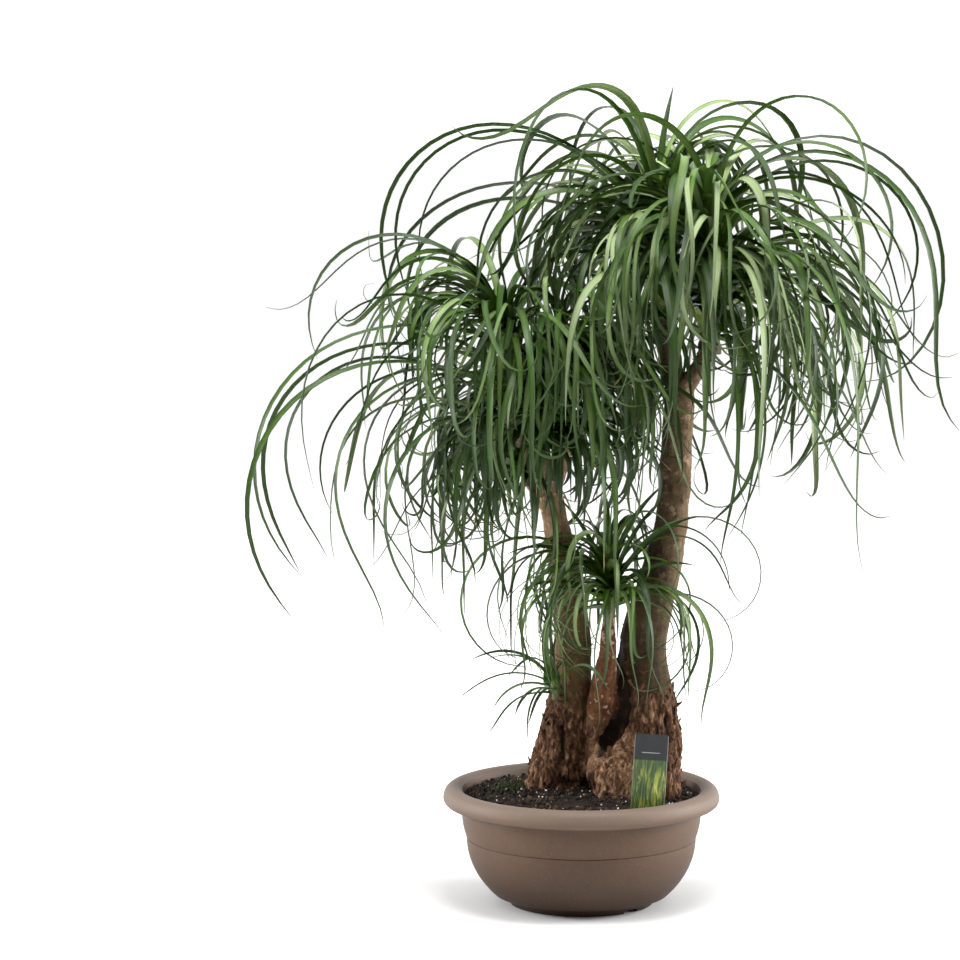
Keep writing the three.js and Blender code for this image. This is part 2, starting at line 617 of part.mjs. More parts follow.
// The first try that is clear of the other heads. Early tries also keep off the head's own leaves, but outer
// leaves don't.
function firstClear(head, headNumber, place, placed, obstacles) {
  let fallback = null;
  for (let attempt = 0; attempt < TRIES; attempt++) {
    if (fallback && attempt >= OWN_TRIES) return fallback;
    const blade = bladeOf(headNumber, grownLeaf(head, headNumber, place, attempt));
    if (!PLANT_BOX.containsBox(blade.box) || !clearOfOthers(blade, placed, obstacles)) continue;
    const outer = place < OUTER_LEAVES[headNumber].length;
    const crossed = placed.some(
      (other) => other.headNumber === headNumber && near(blade, other, OWN_GAP * head.width, 1),
    );
    if (outer || !crossed) return blade;
    fallback ??= blade;
  }
  return fallback;
}

const pot = potSolid();
const trunk = trunkSolid();
const label = labelSolid();
const soil = soilSolid([trunkSolid(SEAT_GAP), labelSolid(SEAT_GAP)]);
const heads = growHeads([trunk, label, pot, soil]);

const palm = new THREE.Group();
palm.name = "ponytail_palm";
palm.add(meshOf("pot", pot, "pot"));
palm.add(meshOf("soil", soil, "soil"));
palm.add(meshOf("trunk", trunk, "bark"));
palm.add(meshOf("label", label, "label"));
heads.forEach((solid, i) => palm.add(meshOf(HEADS[i].name, solid, "leaf")));

export default palm;
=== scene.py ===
"""The looks of a potted ponytail palm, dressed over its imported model. Metres, +Z up."""

import math
import random

import bmesh
import bpy
import numpy as np
from mathutils import Euler, Matrix, Vector, noise
from mathutils.bvhtree import BVHTree
from mathutils.kdtree import KDTree


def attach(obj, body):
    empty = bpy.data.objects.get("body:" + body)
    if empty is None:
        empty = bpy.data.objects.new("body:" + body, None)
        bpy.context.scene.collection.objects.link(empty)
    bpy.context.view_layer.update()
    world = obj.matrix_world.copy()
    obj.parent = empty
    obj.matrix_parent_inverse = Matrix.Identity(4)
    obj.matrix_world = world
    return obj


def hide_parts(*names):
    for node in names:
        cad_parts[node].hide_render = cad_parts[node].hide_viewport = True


MM = 0.001
NOISE_SEED = 7

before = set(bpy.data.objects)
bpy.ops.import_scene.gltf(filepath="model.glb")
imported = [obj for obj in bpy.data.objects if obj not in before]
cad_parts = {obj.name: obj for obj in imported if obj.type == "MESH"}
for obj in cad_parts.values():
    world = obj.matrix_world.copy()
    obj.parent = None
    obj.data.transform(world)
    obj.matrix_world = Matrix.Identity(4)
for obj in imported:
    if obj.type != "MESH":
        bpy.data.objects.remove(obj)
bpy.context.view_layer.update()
noise.seed_set(NOISE_SEED)

# Leaves: the same heads and the same rule as the part's own source, in millimetres and degrees. Light, wild,
# full and more are for the looks alone: how much painted sheen rather than painted shade the leaves get, how
# much the added ones wave, how late all of them narrow, and how many are added.
USUAL_HEAD = dict(light=0.8, wild=2.3, full=3.6, fall=(-95, -155))
HEADS = [USUAL_HEAD | own for own in (
    dict(name="leaves_right_back", foot=(88, 7, 617.3), top=(79, 10, 748), radius=(13, 6), count=44,
         length=(360, 340), width=10, rise=(48, 87), turn=20, more=150, light=1.2, wild=1.5),
    dict(name="leaves_right_front", foot=(135, -13, 604.3), top=(138, -18, 738), radius=(13, 6), count=46,
         length=(360, 340), width=10, rise=(48, 87), turn=95, more=120, light=1.2, wild=1.5),
    dict(name="leaves_left_back", foot=(-60, -10, 504.3), top=(-88, -16, 618), radius=(12, 6), count=43,
         length=(340, 310), width=8.5, rise=(36, 86), turn=160, more=165),
    dict(name="leaves_left_front", foot=(-21, -1, 506.3), top=(-22, -6, 590), radius=(11, 5.5), count=36,
         length=(290, 270), width=7.5, rise=(35, 86), turn=250, more=135),
    dict(name="leaves_left_low", foot=(-56, 13, 460.3), top=(-68, 17, 492), radius=(8.5, 5), count=12,
         length=(220, 230), width=6.5, rise=(10, 78), turn=310, more=46),
    dict(name="leaves_middle", foot=(28.6, -28, 322.3), top=(27, -29, 376), radius=(7, 4.5), count=26,
         length=(230, 200), width=7, rise=(25, 84), fall=(-120, -170), turn=40, more=58, light=0.85, wild=1.5,
         full=2.2),
    dict(name="leaves_low_tuft", foot=(-27, -19, 231.3), top=(-32, -23, 250), radius=(5.5, 3.5), count=7,
         length=(115, 125), width=5.5, rise=(0, 65), fall=(-60, -80), turn=200, more=9, light=0.7, wild=0.4),
)]
LEFT_HEADS = (2, 3)
MIDDLE_HEAD = 5

# The long leaves of each head that draw its outline: up the stem, heading, rise, fall, length, late, flick.
OUTER_LEAVES = [
    [
        (0.58, 236, 87, -112, 541, 1.43, -15), (0.81, 127, 59, -87, 379, 2, -57),
        (0.82, 120, 86, -144, 350, 1.84, 58), (0.93, 175, 49, -154, 492, 1.88, 49),
        (0.83, 183, 53, -140, 454, 1.89, 32), (0.97, 176, 52, -116, 397, 1.58, 13),
        (0.75, 154, 46, -55, 440, 1.03, -60), (0.78, 155, 23, -79, 400, 1.98, -41),
        (0.97, 60, 88, 60, 147, 1.5, 0),
    ],
    [
        (0.97, -43, 87, -136, 410, 1.52, 2), (0.97, 24, 87, -126, 600, 0.86, -60),
        (0.97, -5, 87, -118, 356, 1.12, -5), (0.97, -7, 87, -149, 512, 0.91, 97),
        (0.97, -1, 58, -129, 381, 1.35, -3), (0.97, -23, 80, -117, 353, 0.91, 59),
        (0.97, -24, 87, -61, 291, 0.67, -25), (0.97, -40, 51, -149, 448, 0.96, 23),
        (0.59, 40, 22, -95, 277, 0.91, -47), (0.5, -62, 42, -150, 540, 1.2, 85),
        (0.1, -50, -5, -95, 330, 1.2, 110),
    ],
    [
        (0.24, 182, 87, -117, 447, 1.89, 9), (0.05, 213, 74, -143, 506, 1.67, 38),
        (0.97, 204, 15, -150, 492, 1.78, 19), (0.69, 175, 21, -160, 468, 1.77, 43),
        (0.48, 209, 22, -155, 534, 1.87, 26), (0.49, 193, 26, -185, 433, 1.36, 92),
        (0.3, 179, 61, -185, 411, 1.03, 86), (0.12, 175, 44, -185, 464, 1.84, 67),
        (0.34, 186, 43, -101, 328, 1.25, -14),
    ],
    [
        (0.12, 255, 25, -115, 185, 1.1, 60), (0.3, 305, 40, -135, 230, 1.2, -40),
        (0.2, 230, 20, -120, 225, 1.1, -60),
    ],
    [(0.6, 195, 75, -160, 270, 1.2, 40)],
    [(0.37, 170, 65, -170, 340, 1.3, -10), (0.8, 195, 41, -155, 270, 1.3, -50),
     (0.59, 215, 34, -175, 210, 1.7, 70), (0.2, -12, 72, -165, 330, 1.7, -10),
     (0.6, -28, 64, -120, 225, 1.7, 25), (0.75, -55, 77, -185, 255, 1.7, 50)],
    [
        (0.6, 190, 34, -56, 118, 1.2, 25), (0.5, 205, 62, -20, 95, 1.3, 10), (0.8, 100, 80, 20, 120, 1.5, 0),
        (0.3, 150, 20, -60, 90, 1.2, 0), (0.2, 240, 30, -80, 75, 1.1, 30), (0.9, 20, 70, -40, 70, 1.3, 0),
        (0.7, 275, 60, -70, 70, 1.2, 20),
    ],
]

# Leaves of no head's rule, by head: values like those above, then the hang and the width.
EXTRA_LEAVES = {
    1: [(0.38, -60, -28, -201, 335, 1.7, 62, 1.2, 6), (0.42, -80, -20, -190, 365, 1.7, 80, 1.2, 5),
        (0.9, -55, -17, -148, 247, 1.0, 50, 1.2, 8), (0.85, -30, -15, -128, 279, 1.3, -4, 1.0, 7),
        (0.38, -45, -23, -133, 299, 1.0, 5, 1.2, 3.5), (0.5, -70, -10, -140, 330, 1.2, 30, 1.2, 3.5),
        (0.16, -25, -5, -59, 208, 1.0, 82, 1.2, 3.5), (0.25, -15, 0, -105, 270, 1.3, 60, 1.1, 5)],
    5: [(0.3, 182, 66, -25, 135, 1.3, 0, 1.1, 8), (0.5, 200, 80, 60, 100, 1.3, 0, 1.0, 7),
        (0.6, 18, 76, 34, 128, 1.4, 0, 1.0, 7), (0.4, 2, 60, 18, 125, 1.4, 0, 1.0, 6.5),
        (0.3, -24, 48, -10, 112, 1.4, 0, 1.1, 6), (0.5, 158, 72, 40, 115, 1.4, 0, 1.0, 6.5),
        (0.7, 280, 86, 62, 105, 1.3, 0, 1.0, 7), (0.2, 192, 40, -30, 110, 1.3, 0, 1.1, 6),
        (0.25, 338, 66, 10, 145, 1.5, 0, 1.0, 6.5), (0.35, 35, 70, 25, 135, 1.5, 0, 1.0, 6)],
    6: [(0.5, 0, 112, 25, 150, 1.3, 0, 1.0, 8.5), (0.4, 205, 62, -30, 120, 1.3, 10, 1.1, 4.5)],
}

# The rule of growth: degrees from leaf to leaf, how far a leaf strays from its place, steps along its path,
# and how often the source may have tried it. Its tip lies this near a corner of the node, in metres.
TURN_PER_LEAF = 137.5
STRAY = dict(heading=16, rise=10, fall=20, drift=80, twist=85)
PATH_STEPS = 24
TRIES = 90
TIP_MATCH = 0.0001

# Added leaves: how they are spread over the stem and favour its foot, their least width with its spread, and
# where they may be. The clearance and the reach of a solid's inside are in metres.
GOLDEN = 0.6180339
OLD_FIRST = 1.25
SLENDER = (0.42, 0.6)
ADDED_TRIES = 12
PLANT_BOX = np.array([(-376, -294, 18), (406, 279, 889)])
CLEARANCE = 0.004
INSIDE_REACH = 0.06

# The outline's leaves are this much slimmer than their head's others. Extra leaves shorter than SHORT are
# rolled by the first of these angles so that their faces show, and longer ones by the second. Then how many
# loose leaves the middle head and each left head have.
OUTER_WIDTH = 0.82
SHORT = 180
ROLLS = (60, 15)
WISPS = 16
SKIRT = 18

# A leaf's rings and veins, its cross section in shares of its half width, and its keel and least half width
# in millimetres. Then the leaf-bearing stems.
LEAF_RINGS = 24
VEINS = 11
EDGE_LIFT = 0.34
VALLEY_DEPTH = 0.12
KEEL = 0.75
BASE_FLARE = 1.1
THINNEST = 0.12
STEM_RINGS = 26
STEM_SIDES = 16
STEM_SINK = 6


def mix(a, b, share):
    return a + (b - a) * share


def smoothstep(low, high, x):
    share = min(1.0, max(0.0, (x - low) / (high - low)))
    return share * share * (3 - 2 * share)


def draw(*keys):
    """A number from 0 to 1 that depends only on the whole numbers given."""
    mixed = 2166136261
    for key in keys:
        mixed = ((mixed ^ (key + 1)) * 16777619) & 0xFFFFFFFF
        mixed ^= mixed >> 15
        mixed = (mixed * 2246822519) & 0xFFFFFFFF
        mixed ^= mixed >> 13
    return mixed / 4294967296


def put(name, data):
    thing = bpy.data.objects.new(name, data)
    bpy.context.scene.collection.objects.link(thing)
    return thing


def finish_piece(name, mesh, material, replaces=()):
    """Puts a finished mesh into the scene as a piece that rides with the plant."""
    piece = put(name, mesh)
    mesh.materials.clear()
    mesh.materials.append(material)
    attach(piece, "root")
    if replaces:
        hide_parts(*replaces)
    return piece


def mesh_from(bm, name, smooth=True):
    for face in bm.faces:
        face.smooth = smooth
    mesh = bpy.data.meshes.new(name)
    bm.to_mesh(mesh)
    bm.free()
    return mesh


def copies(blank, count, name, smooth=True):
    """A mesh that holds the blank many times over."""
    bm = bmesh.new()
    for _ in range(count):
        bm.from_mesh(blank)
    return mesh_from(bm, name, smooth)


def corners_of(mesh):
    places = np.zeros(len(mesh.vertices) * 3)
    mesh.vertices.foreach_get("co", places)
    return places.reshape(-1, 3)


def move_corners(mesh, places):
    mesh.vertices.foreach_set("co", np.array(places, np.float32).ravel())
    mesh.update()


def give(mesh, name, values):
    """Stores four numbers at each corner of the mesh, for its material to read."""
    layer = mesh.attributes.new(name, "FLOAT_COLOR", "POINT")
    layer.data.foreach_set("color", np.array(values, np.float32).ravel())


def applied(mesh, add_modifiers):
    """The mesh after modifiers that add_modifiers puts on an object."""
    worker = put("worker", mesh)
    add_modifiers(worker)
    graph = bpy.context.evaluated_depsgraph_get()
    result = bpy.data.meshes.new_from_object(worker.evaluated_get(graph))
    bpy.data.objects.remove(worker)
    return result


class Value:
    """A node's output, with the arithmetic that Math nodes do on it."""

    def __init__(self, paint, socket):
        self.paint = paint
        self.socket = socket

    def part(self, key):
        return Value(self.paint, self.socket.node.outputs[key])

    def maths(self, operation, *values):
        return self.paint.add("Math", {"operation": operation}, dict(enumerate(values)))

    def __abs__(self):
        return self.maths("ABSOLUTE", self)

    def __add__(self, other):
        return self.maths("ADD", self, other)

    def __sub__(self, other):
        return self.maths("SUBTRACT", self, other)

    def __mul__(self, other):
        return self.maths("MULTIPLY", self, other)

    def __rsub__(self, other):
        return self.maths("SUBTRACT", other, self)

    __radd__ = __add__
    __rmul__ = __mul__


class Paint:
    """A material or a world in the making. Every node is added by one method."""

    def __init__(self, owner, shader="Principled BSDF", **constants):
        self.owner = bpy.data.materials.new(owner) if isinstance(owner, str) else owner
        self.owner.use_nodes = True
        self.tree = self.owner.node_tree
        self.shader = self.tree.nodes[shader]
        for socket, value in constants.items():
            self.shader.inputs[socket.replace("_", " ")].default_value = value

    def add(self, kind, settings, sockets, output=0):
        node = self.tree.nodes.new("ShaderNode" + kind)
        for name, value in settings.items():
            if name == "stops":
                self.set_stops(node.color_ramp, value)
            else:
                setattr(node, name, value)
        for key, value in sockets.items():
            self.feed(node.inputs[key], value)
        return Value(self, node.outputs[output])

    def feed(self, socket, value):
        if isinstance(value, Value):
            self.tree.links.new(value.socket, socket)
        elif socket.type == "RGBA" and len(value) == 3:
            socket.default_value = (*value, 1)
        else:
            socket.default_value = value

    def set_stops(self, ramp, stops):
        while len(ramp.elements) < len(stops):
            ramp.elements.new(0.5)
        for element, (position, colour) in zip(ramp.elements, stops):
            element.position = position
            element.color = (*colour, 1)

    def place(self):
        return self.add("TexCoord", {}, {}, "Object")

    def parts(self, kind, value):
        """The three parts of a colour or of a place in XYZ."""
        first = self.add("Separate" + kind, {}, {0: value})
        return first, first.part(1), first.part(2)

    def noise(self, vector, scale, detail=3.0, rough=0.5, distortion=0.0, stretch=None):
        if stretch:
            vector = self.add("Mapping", {"vector_type": "POINT"}, {"Vector": vector, "Scale": stretch})
        sockets = {"Vector": vector, "Scale": scale, "Detail": detail, "Roughness": rough}
        return self.add("TexNoise", {}, {**sockets, "Distortion": distortion})

    def ease(self, value, low, high):
        return self.add("MapRange", {"interpolation_type": "SMOOTHSTEP"}, {0: value, 1: low, 2: high})

    def low(self, value, low, high):
        """One below the low value, nought above the high one."""
        return 1.0 - self.ease(value, low, high)

    def blend(self, share, a, b):
        return self.add("Mix", {"data_type": "RGBA"}, {0: share, 6: a, 7: b}, 2)

    def over(self, colour, *layers):
        """A colour with layers laid on it in turn, each given as how far it covers and its own colour."""
        for share, tone in layers:
            colour = self.blend(share, colour, tone)
        return colour

    def ramp(self, value, stops):
        return self.add("ValToRGB", {"stops": stops}, {0: value})

    def attribute(self, name):
        return self.add("Attribute", {"attribute_name": name}, {}, "Color")

    def bump(self, height, distance):
        return self.add("Bump", {}, {"Strength": 1.0, "Distance": distance, "Height": height})

    def done(self, **feeds):
        for socket, value in feeds.items():
            self.feed(self.shader.inputs[socket.replace("_", " ")], value)
        return self.owner


def leaf_paint():
    """Living leaf: its colour follows its age and its place along the blade, with fine veins along it,
    painted shade on its margins and underside, a painted highlight down its middle, and a per-leaf tone from
    painted shade to painted sheen.
    """
    paint = Paint("living_leaf", IOR=1.45, Specular_IOR_Level=0.42)
    across, along, _ = paint.parts("XYZ", paint.add("UVMap", {"uv_map": "blade"}, {}))
    youth, luck, dry = paint.parts("Color", paint.attribute("tone"))
    under = across.maths("GREATER_THAN", across, 1.0)
    from_middle = abs(across.maths("FRACT", across) * 2.0 - 1.0)
    mottle = paint.noise(paint.place(), 22, 3)
    shade = luck * 0.7 + mottle * 0.3
    # The deep and fresh ramps run from painted shade through the leaves' own greens to a pale grey-green
    # painted sheen at the top.
    deep = paint.ramp(shade, [(0.2, (0.008, 0.026, 0.001)), (0.44, (0.034, 0.086, 0.004)),
                              (0.6, (0.11, 0.19, 0.034)), (0.8, (0.33, 0.42, 0.2))])
    fresh = paint.ramp(shade, [(0.2, (0.026, 0.088, 0.002)), (0.48, (0.07, 0.18, 0.009)),
                               (0.8, (0.32, 0.43, 0.17))])
    base = paint.low(along, 0.02, 0.22)
    sheath = paint.ramp(luck * 0.5 + mottle * 0.5,
                        [(0.3, (0.026, 0.07, 0.005)), (0.52, (0.095, 0.2, 0.014)),
                         (0.72, (0.3, 0.4, 0.06))])
    # Painted shade along the margins of the folded blade.
    painted_edge_shade = paint.ease(from_middle, 0.45, 1.0) * (1.0 - base * 0.6)
    outer = paint.ease(along, 0.38, 0.9)
    tip = paint.ease(along + dry * 0.16 - 0.16, 0.93, 0.985) * paint.ease(dry, 0.35, 0.6)
    colour = paint.over(
        deep,
        (paint.ease(youth, 0.55, 1.15) * 0.8, fresh),
        (base * 0.85, sheath),
        # Painted shade on the margins, a painted highlight down the middle, and painted shade on the
        # undersides.
        (painted_edge_shade * 0.6, (0.012, 0.034, 0.002)),
        (paint.low(from_middle, 0.0, 0.4) * 0.22, (0.15, 0.23, 0.07)),
        (under * 0.5, (0.022, 0.052, 0.004)),
        (outer * 0.7, (0.012, 0.032, 0.002)),
        (tip, (0.3, 0.2, 0.09)),
    )
    veins = across.maths("SINE", across * 2 * math.pi * VEINS)
    height = veins * 0.5 + paint.noise(paint.place(), 180, 2)
    rough = 0.26 + mottle * 0.16 + tip * 0.4 + outer * 0.22
    return paint.done(Base_Color=colour, Roughness=rough, Normal=paint.bump(height, 0.00007))


def core_paint():
    """The leaf-bearing stem: old leaf scars low down, pale green between the young leaf bases."""
    paint = Paint("leaf_stem", Specular_IOR_Level=0.4)
    place = paint.place()
    height = paint.attribute("height")
    scars = paint.noise(place, 90, 4, 0.6, stretch=(1, 1, 3.2))
    colour = paint.ramp(height * 0.7 + scars * 0.3,
                        [(0.2, (0.075, 0.05, 0.022)), (0.45, (0.1, 0.12, 0.035)),
                         (0.8, (0.22, 0.3, 0.07))])
    return paint.done(Base_Color=colour, Roughness=0.5 + scars * 0.2, Normal=paint.bump(scars, 0.0012))


def bark_paint():
    """Bark: corky plates with dark cracks low down, olive-brown with ring scars above, painted shade in the
    front clefts, and painted side light on the upper trunks.
    """
    paint = Paint("bark", Specular_IOR_Level=0.16)
    place = paint.place()
    cork, crack, plate = paint.parts("Color", paint.attribute("bark"))
    stub, stem, knob = paint.parts("Color", paint.attribute("zone"))
    sides, _, level = paint.parts("XYZ", place)
    fine = paint.noise(place, 420, 5, 0.65)
    medium = paint.noise(place, 95, 4, 0.6)
    broad = paint.noise(place, 16, 3)
    flakes = paint.noise(place, 330, 6, 0.75, 0.6, (1, 1, 0.32))
    corky = paint.ramp(plate * 0.42 + flakes * 0.5 + medium * 0.2,
                       [(0.34, (0.009, 0.004, 0.002)), (0.48, (0.04, 0.017, 0.008)),
                        (0.63, (0.12, 0.057, 0.027)), (0.8, (0.38, 0.225, 0.135))])
    grains = paint.ramp(plate * 0.4 + flakes * 0.5 + medium * 0.2,
                        [(0.34, (0.052, 0.023, 0.01)), (0.5, (0.175, 0.089, 0.046)),
                         (0.72, (0.42, 0.26, 0.155))])
    corky = paint.blend(knob * 0.8, corky, grains)
    # Dark cracks, together with the painted shade laid in the clefts.
    crack_and_cleft_shade = paint.ease(crack * 0.75 + broad * 0.35, 0.45, 1.1)
    rings = paint.noise(place, 120, 5, 0.65, 0.8, (0.6, 0.6, 1.8))
    streaks = paint.noise(place, 240, 4, 0.6, stretch=(1, 1, 0.14))
    upper = paint.ramp(rings * 0.3 + streaks * 0.3 + medium * 0.2 + broad * 0.2,
                       [(0.3, (0.016, 0.008, 0.004)), (0.46, (0.05, 0.026, 0.011)),
                        (0.6, (0.104, 0.055, 0.026)), (0.78, (0.24, 0.145, 0.08))])
    algae = paint.ease(medium * 0.5 + broad * 0.5, 0.4, 0.56) * paint.low(level, 0.3, 0.4)
    algae = algae * paint.ease(sides, -0.046, -0.016) * (1.0 - paint.ease(sides, 0.01, 0.05) * 0.6)
    tan = paint.ramp(rings * 0.15 + streaks * 0.25 + medium * 0.4 + broad * 0.2,
                     [(0.3, (0.034, 0.021, 0.01)), (0.46, (0.092, 0.06, 0.031)),
                      (0.6, (0.165, 0.11, 0.062)), (0.78, (0.34, 0.25, 0.155))])
    scars = paint.ease(paint.noise(place, 75, 5, 0.7), 0.54, 0.66)
    pits = paint.ease(paint.noise(place, 170, 4, 0.7, stretch=(1, 1, 0.5)), 0.56, 0.66)
    tan = paint.over(tan, (scars * 0.6, (0.4, 0.27, 0.18)), (pits * 0.75, (0.03, 0.018, 0.01)))
    upper = paint.blend(paint.ease(level, 0.23, 0.36), upper, tan)
    # Painted side light: the smooth upper bark is darker on the right trunk's left half and paler on the left
    # trunk and on the right trunk's right side.
    painted_side_light = 0.46 + paint.ease(sides, 0.076, 0.116) * 0.6 + paint.low(sides, 0.015, 0.045) * 1.2
    upper = paint.add("VectorMath", {"operation": "SCALE"}, {0: upper, "Scale": painted_side_light})
    warm = paint.ramp(rings * 0.2 + streaks * 0.4 + medium * 0.4,
                      [(0.3, (0.022, 0.007, 0.002)), (0.48, (0.072, 0.027, 0.01)),
                       (0.7, (0.175, 0.075, 0.036))])
    scabs = paint.noise(place, 130, 3, 0.6) + paint.ease(level, 0.26, 0.33) * 0.16
    scabs = paint.ease(scabs, 0.6, 0.68)
    warm = paint.blend(scabs * 0.7, warm, (0.42, 0.27, 0.19))
    cut = paint.ramp(medium * 0.6 + fine * 0.4, [(0.3, (0.02, 0.006, 0.004)), (0.6, (0.09, 0.022, 0.012))])
    colour = paint.over(
        upper,
        (algae * 0.6, (0.048, 0.047, 0.01)),
        (stem, warm),
        (cork, corky),
        (crack_and_cleft_shade * 0.9, (0.01, 0.006, 0.004)),
        (stub, cut),
    )
    height = fine * 0.4 + medium * 0.4 + rings * (1.0 - cork) * 0.9 + flakes * cork * 2.2
    rough = 0.72 + fine * 0.2
    return paint.done(Base_Color=colour, Roughness=rough, Normal=paint.bump(height, 0.0011))


def pot_paint():
    """Matt moulded plastic with a fine grain and pale splashes near the foot, a little paler at the rim, with
    painted shade that darkens it towards the foot.
    """
    paint = Paint("moulded_plastic", Specular_IOR_Level=0.26)
    place = paint.place()
    _, _, level = paint.parts("XYZ", place)
    grain = paint.noise(place, 1500, 3, 0.6)
    cloud = paint.noise(place, 14, 4, 0.55)
    dust = paint.noise(place, 60, 5, 0.7, stretch=(1, 1, 0.35))
    specks = paint.ease(paint.noise(place, 700, 2, 0.5), 0.62, 0.75)
    splash = paint.ease(dust, 0.6, 0.78) * paint.low(level, 0.01, 0.045)
    colour = paint.over(
        paint.ramp(cloud * 0.6 + dust * 0.4, [(0.3, (0.078, 0.044, 0.026)), (0.7, (0.102, 0.06, 0.037))]),
        # Painted shade: darker towards the foot.
        (paint.low(level, -0.02, 0.1) * 0.9, (0.022, 0.01, 0.004)),
        (paint.ease(level, 0.1, 0.125) * 0.5, (0.195, 0.155, 0.127)),
        (specks * 0.12, (0.5, 0.44, 0.39)),
        (splash * 0.35, (0.11, 0.08, 0.06)),
    )
    rough = 0.46 + grain * 0.14 + dust * 0.08
    return paint.done(Base_Color=colour, Roughness=rough, Normal=paint.bump(grain, 0.00012))


def soil_paint():
    """Damp peat, nearly black in its hollows, with brown fibre."""
    paint = Paint("damp_peat", Specular_IOR_Level=0.2)
    place = paint.place()
    coarse = paint.noise(place, 240, 6, 0.7)
    fibre = paint.noise(place, 520, 4, 0.6, 1.2, (1, 0.25, 1))
    broad = paint.noise(place, 28, 3)
    colour = paint.ramp(coarse * 0.5 + fibre * 0.3 + broad * 0.2,
                        [(0.32, (0.004, 0.003, 0.002)), (0.54, (0.014, 0.008, 0.004)),
                         (0.7, (0.045, 0.025, 0.012))])
    height = coarse + fibre * 0.4
    return paint.done(Base_Color=colour, Roughness=0.78 + coarse * 0.2, Normal=paint.bump(height, 0.0022))


def crumb_paint(name, stops, rough):
    """Loose bits on the soil, each with its own tone."""
    paint = Paint(name, Specular_IOR_Level=0.3)
    place = paint.place()
    own = paint.parts("Color", paint.attribute("tone"))[0]
    pits = paint.noise(place, 900, 4, 0.65)
    colour = paint.ramp(own * 0.65 + pits * 0.35, stops)
    return paint.done(Base_Color=colour, Roughness=rough + pits * 0.15, Normal=paint.bump(pits, 0.0005))


def label_paint():
    """Printed card: a dark slate header with a plain pale rule, over soft green stripes."""
    paint = Paint("printed_card", Specular_IOR_Level=0.4, Coat_Weight=0.1, Coat_Roughness=0.2)
    uv = paint.add("UVMap", {"uv_map": "card"}, {})
    x, y, _ = paint.parts("XYZ", uv)
    blades = paint.noise(uv, 2.4, 4, 0.6, 1.6, (5, 1.3, 1))
    glow = paint.noise(uv, 1.6, 2, 0.5, stretch=(2, 2.4, 1))
    field = paint.ramp(blades * 0.7 + glow * 0.3,
                       [(0.38, (0.02, 0.04, 0.016)), (0.48, (0.055, 0.1, 0.025)),
                        (0.58, (0.29, 0.33, 0.05)), (0.72, (0.68, 0.66, 0.24))])
    header = paint.ramp(paint.noise(uv, 3), [(0.3, (0.012, 0.013, 0.014)), (0.7, (0.019, 0.021, 0.023))])
    from_middle = abs(x - 0.5)
    rule = paint.low(abs(y - 0.79), 0.002, 0.006) * paint.low(from_middle, 0.26, 0.27)
    colour = paint.over(
        field,
        (paint.ease(y, 0.45, 0.72) * 0.7, (0.035, 0.07, 0.03)),
        (paint.ease(y, 0.7, 0.712), header),
        (rule * 0.6, (0.5, 0.52, 0.5)),
        (paint.ease(from_middle, 0.475, 0.482) * 0.6, (0.24, 0.22, 0.2)),
        (paint.low(y, 0.0, 0.01), (0.05, 0.055, 0.05)),
    )
    wear = paint.noise(paint.place(), 650, 3, 0.6)
    return paint.done(Base_Color=colour, Roughness=0.32 + wear * 0.12, Normal=paint.bump(wear, 0.00006))


def floor_paint():
    """A pale floor with a hardly visible grain: darker near the plant, where it throws less light back onto
    the pot, and paler far off as painted light where the lamps reach less.
    """
    paint = Paint("pale_floor", Specular_IOR_Level=0.2)
    place = paint.place()
    grain = paint.noise(place, 3, 3)
    away = paint.add("VectorMath", {"operation": "LENGTH"}, {0: place}, 1)
    colour = paint.ramp(grain, [(0.3, (0.72, 0.72, 0.72)), (0.7, (0.74, 0.74, 0.74))])
    # Painted light: the floor pales with distance to stand in for the lamps' light, and is darker near the
    # plant.
    colour = paint.blend(paint.ease(away, 0.4, 1.1), colour, (0.95, 0.95, 0.95))
    return paint.done(Base_Color=colour, Roughness=0.85 + grain * 0.05)


def spiral_leaf(number, place, youth, chance):
    """What an ordinary leaf is like at its place in the spiral."""
    head = HEADS[number]
    curl = chance(5)
    return (
        mix(0.04, 0.97, youth),
        head["turn"] + place * TURN_PER_LEAF,
        mix(*head["rise"], youth ** 0.75),
        mix(*head["fall"], curl),
        mix(*head["length"], youth) * (0.55 + 0.6 * chance(4)),
        mix(2.1, 1.0, curl),
        mix(-70, 130, chance(10)),
        mix(2.2, 1.1, curl),
    )


def youth_of(number, place):
    """How young a leaf is, from 0 to 1. The leaves past the head's count are spread over its whole stem."""
    head = HEADS[number]
    first = len(OUTER_LEAVES[number])
    if place < head["count"]:
        return (place - first + 0.5) / (head["count"] - first)
    return ((place * GOLDEN) % 1) ** OLD_FIRST


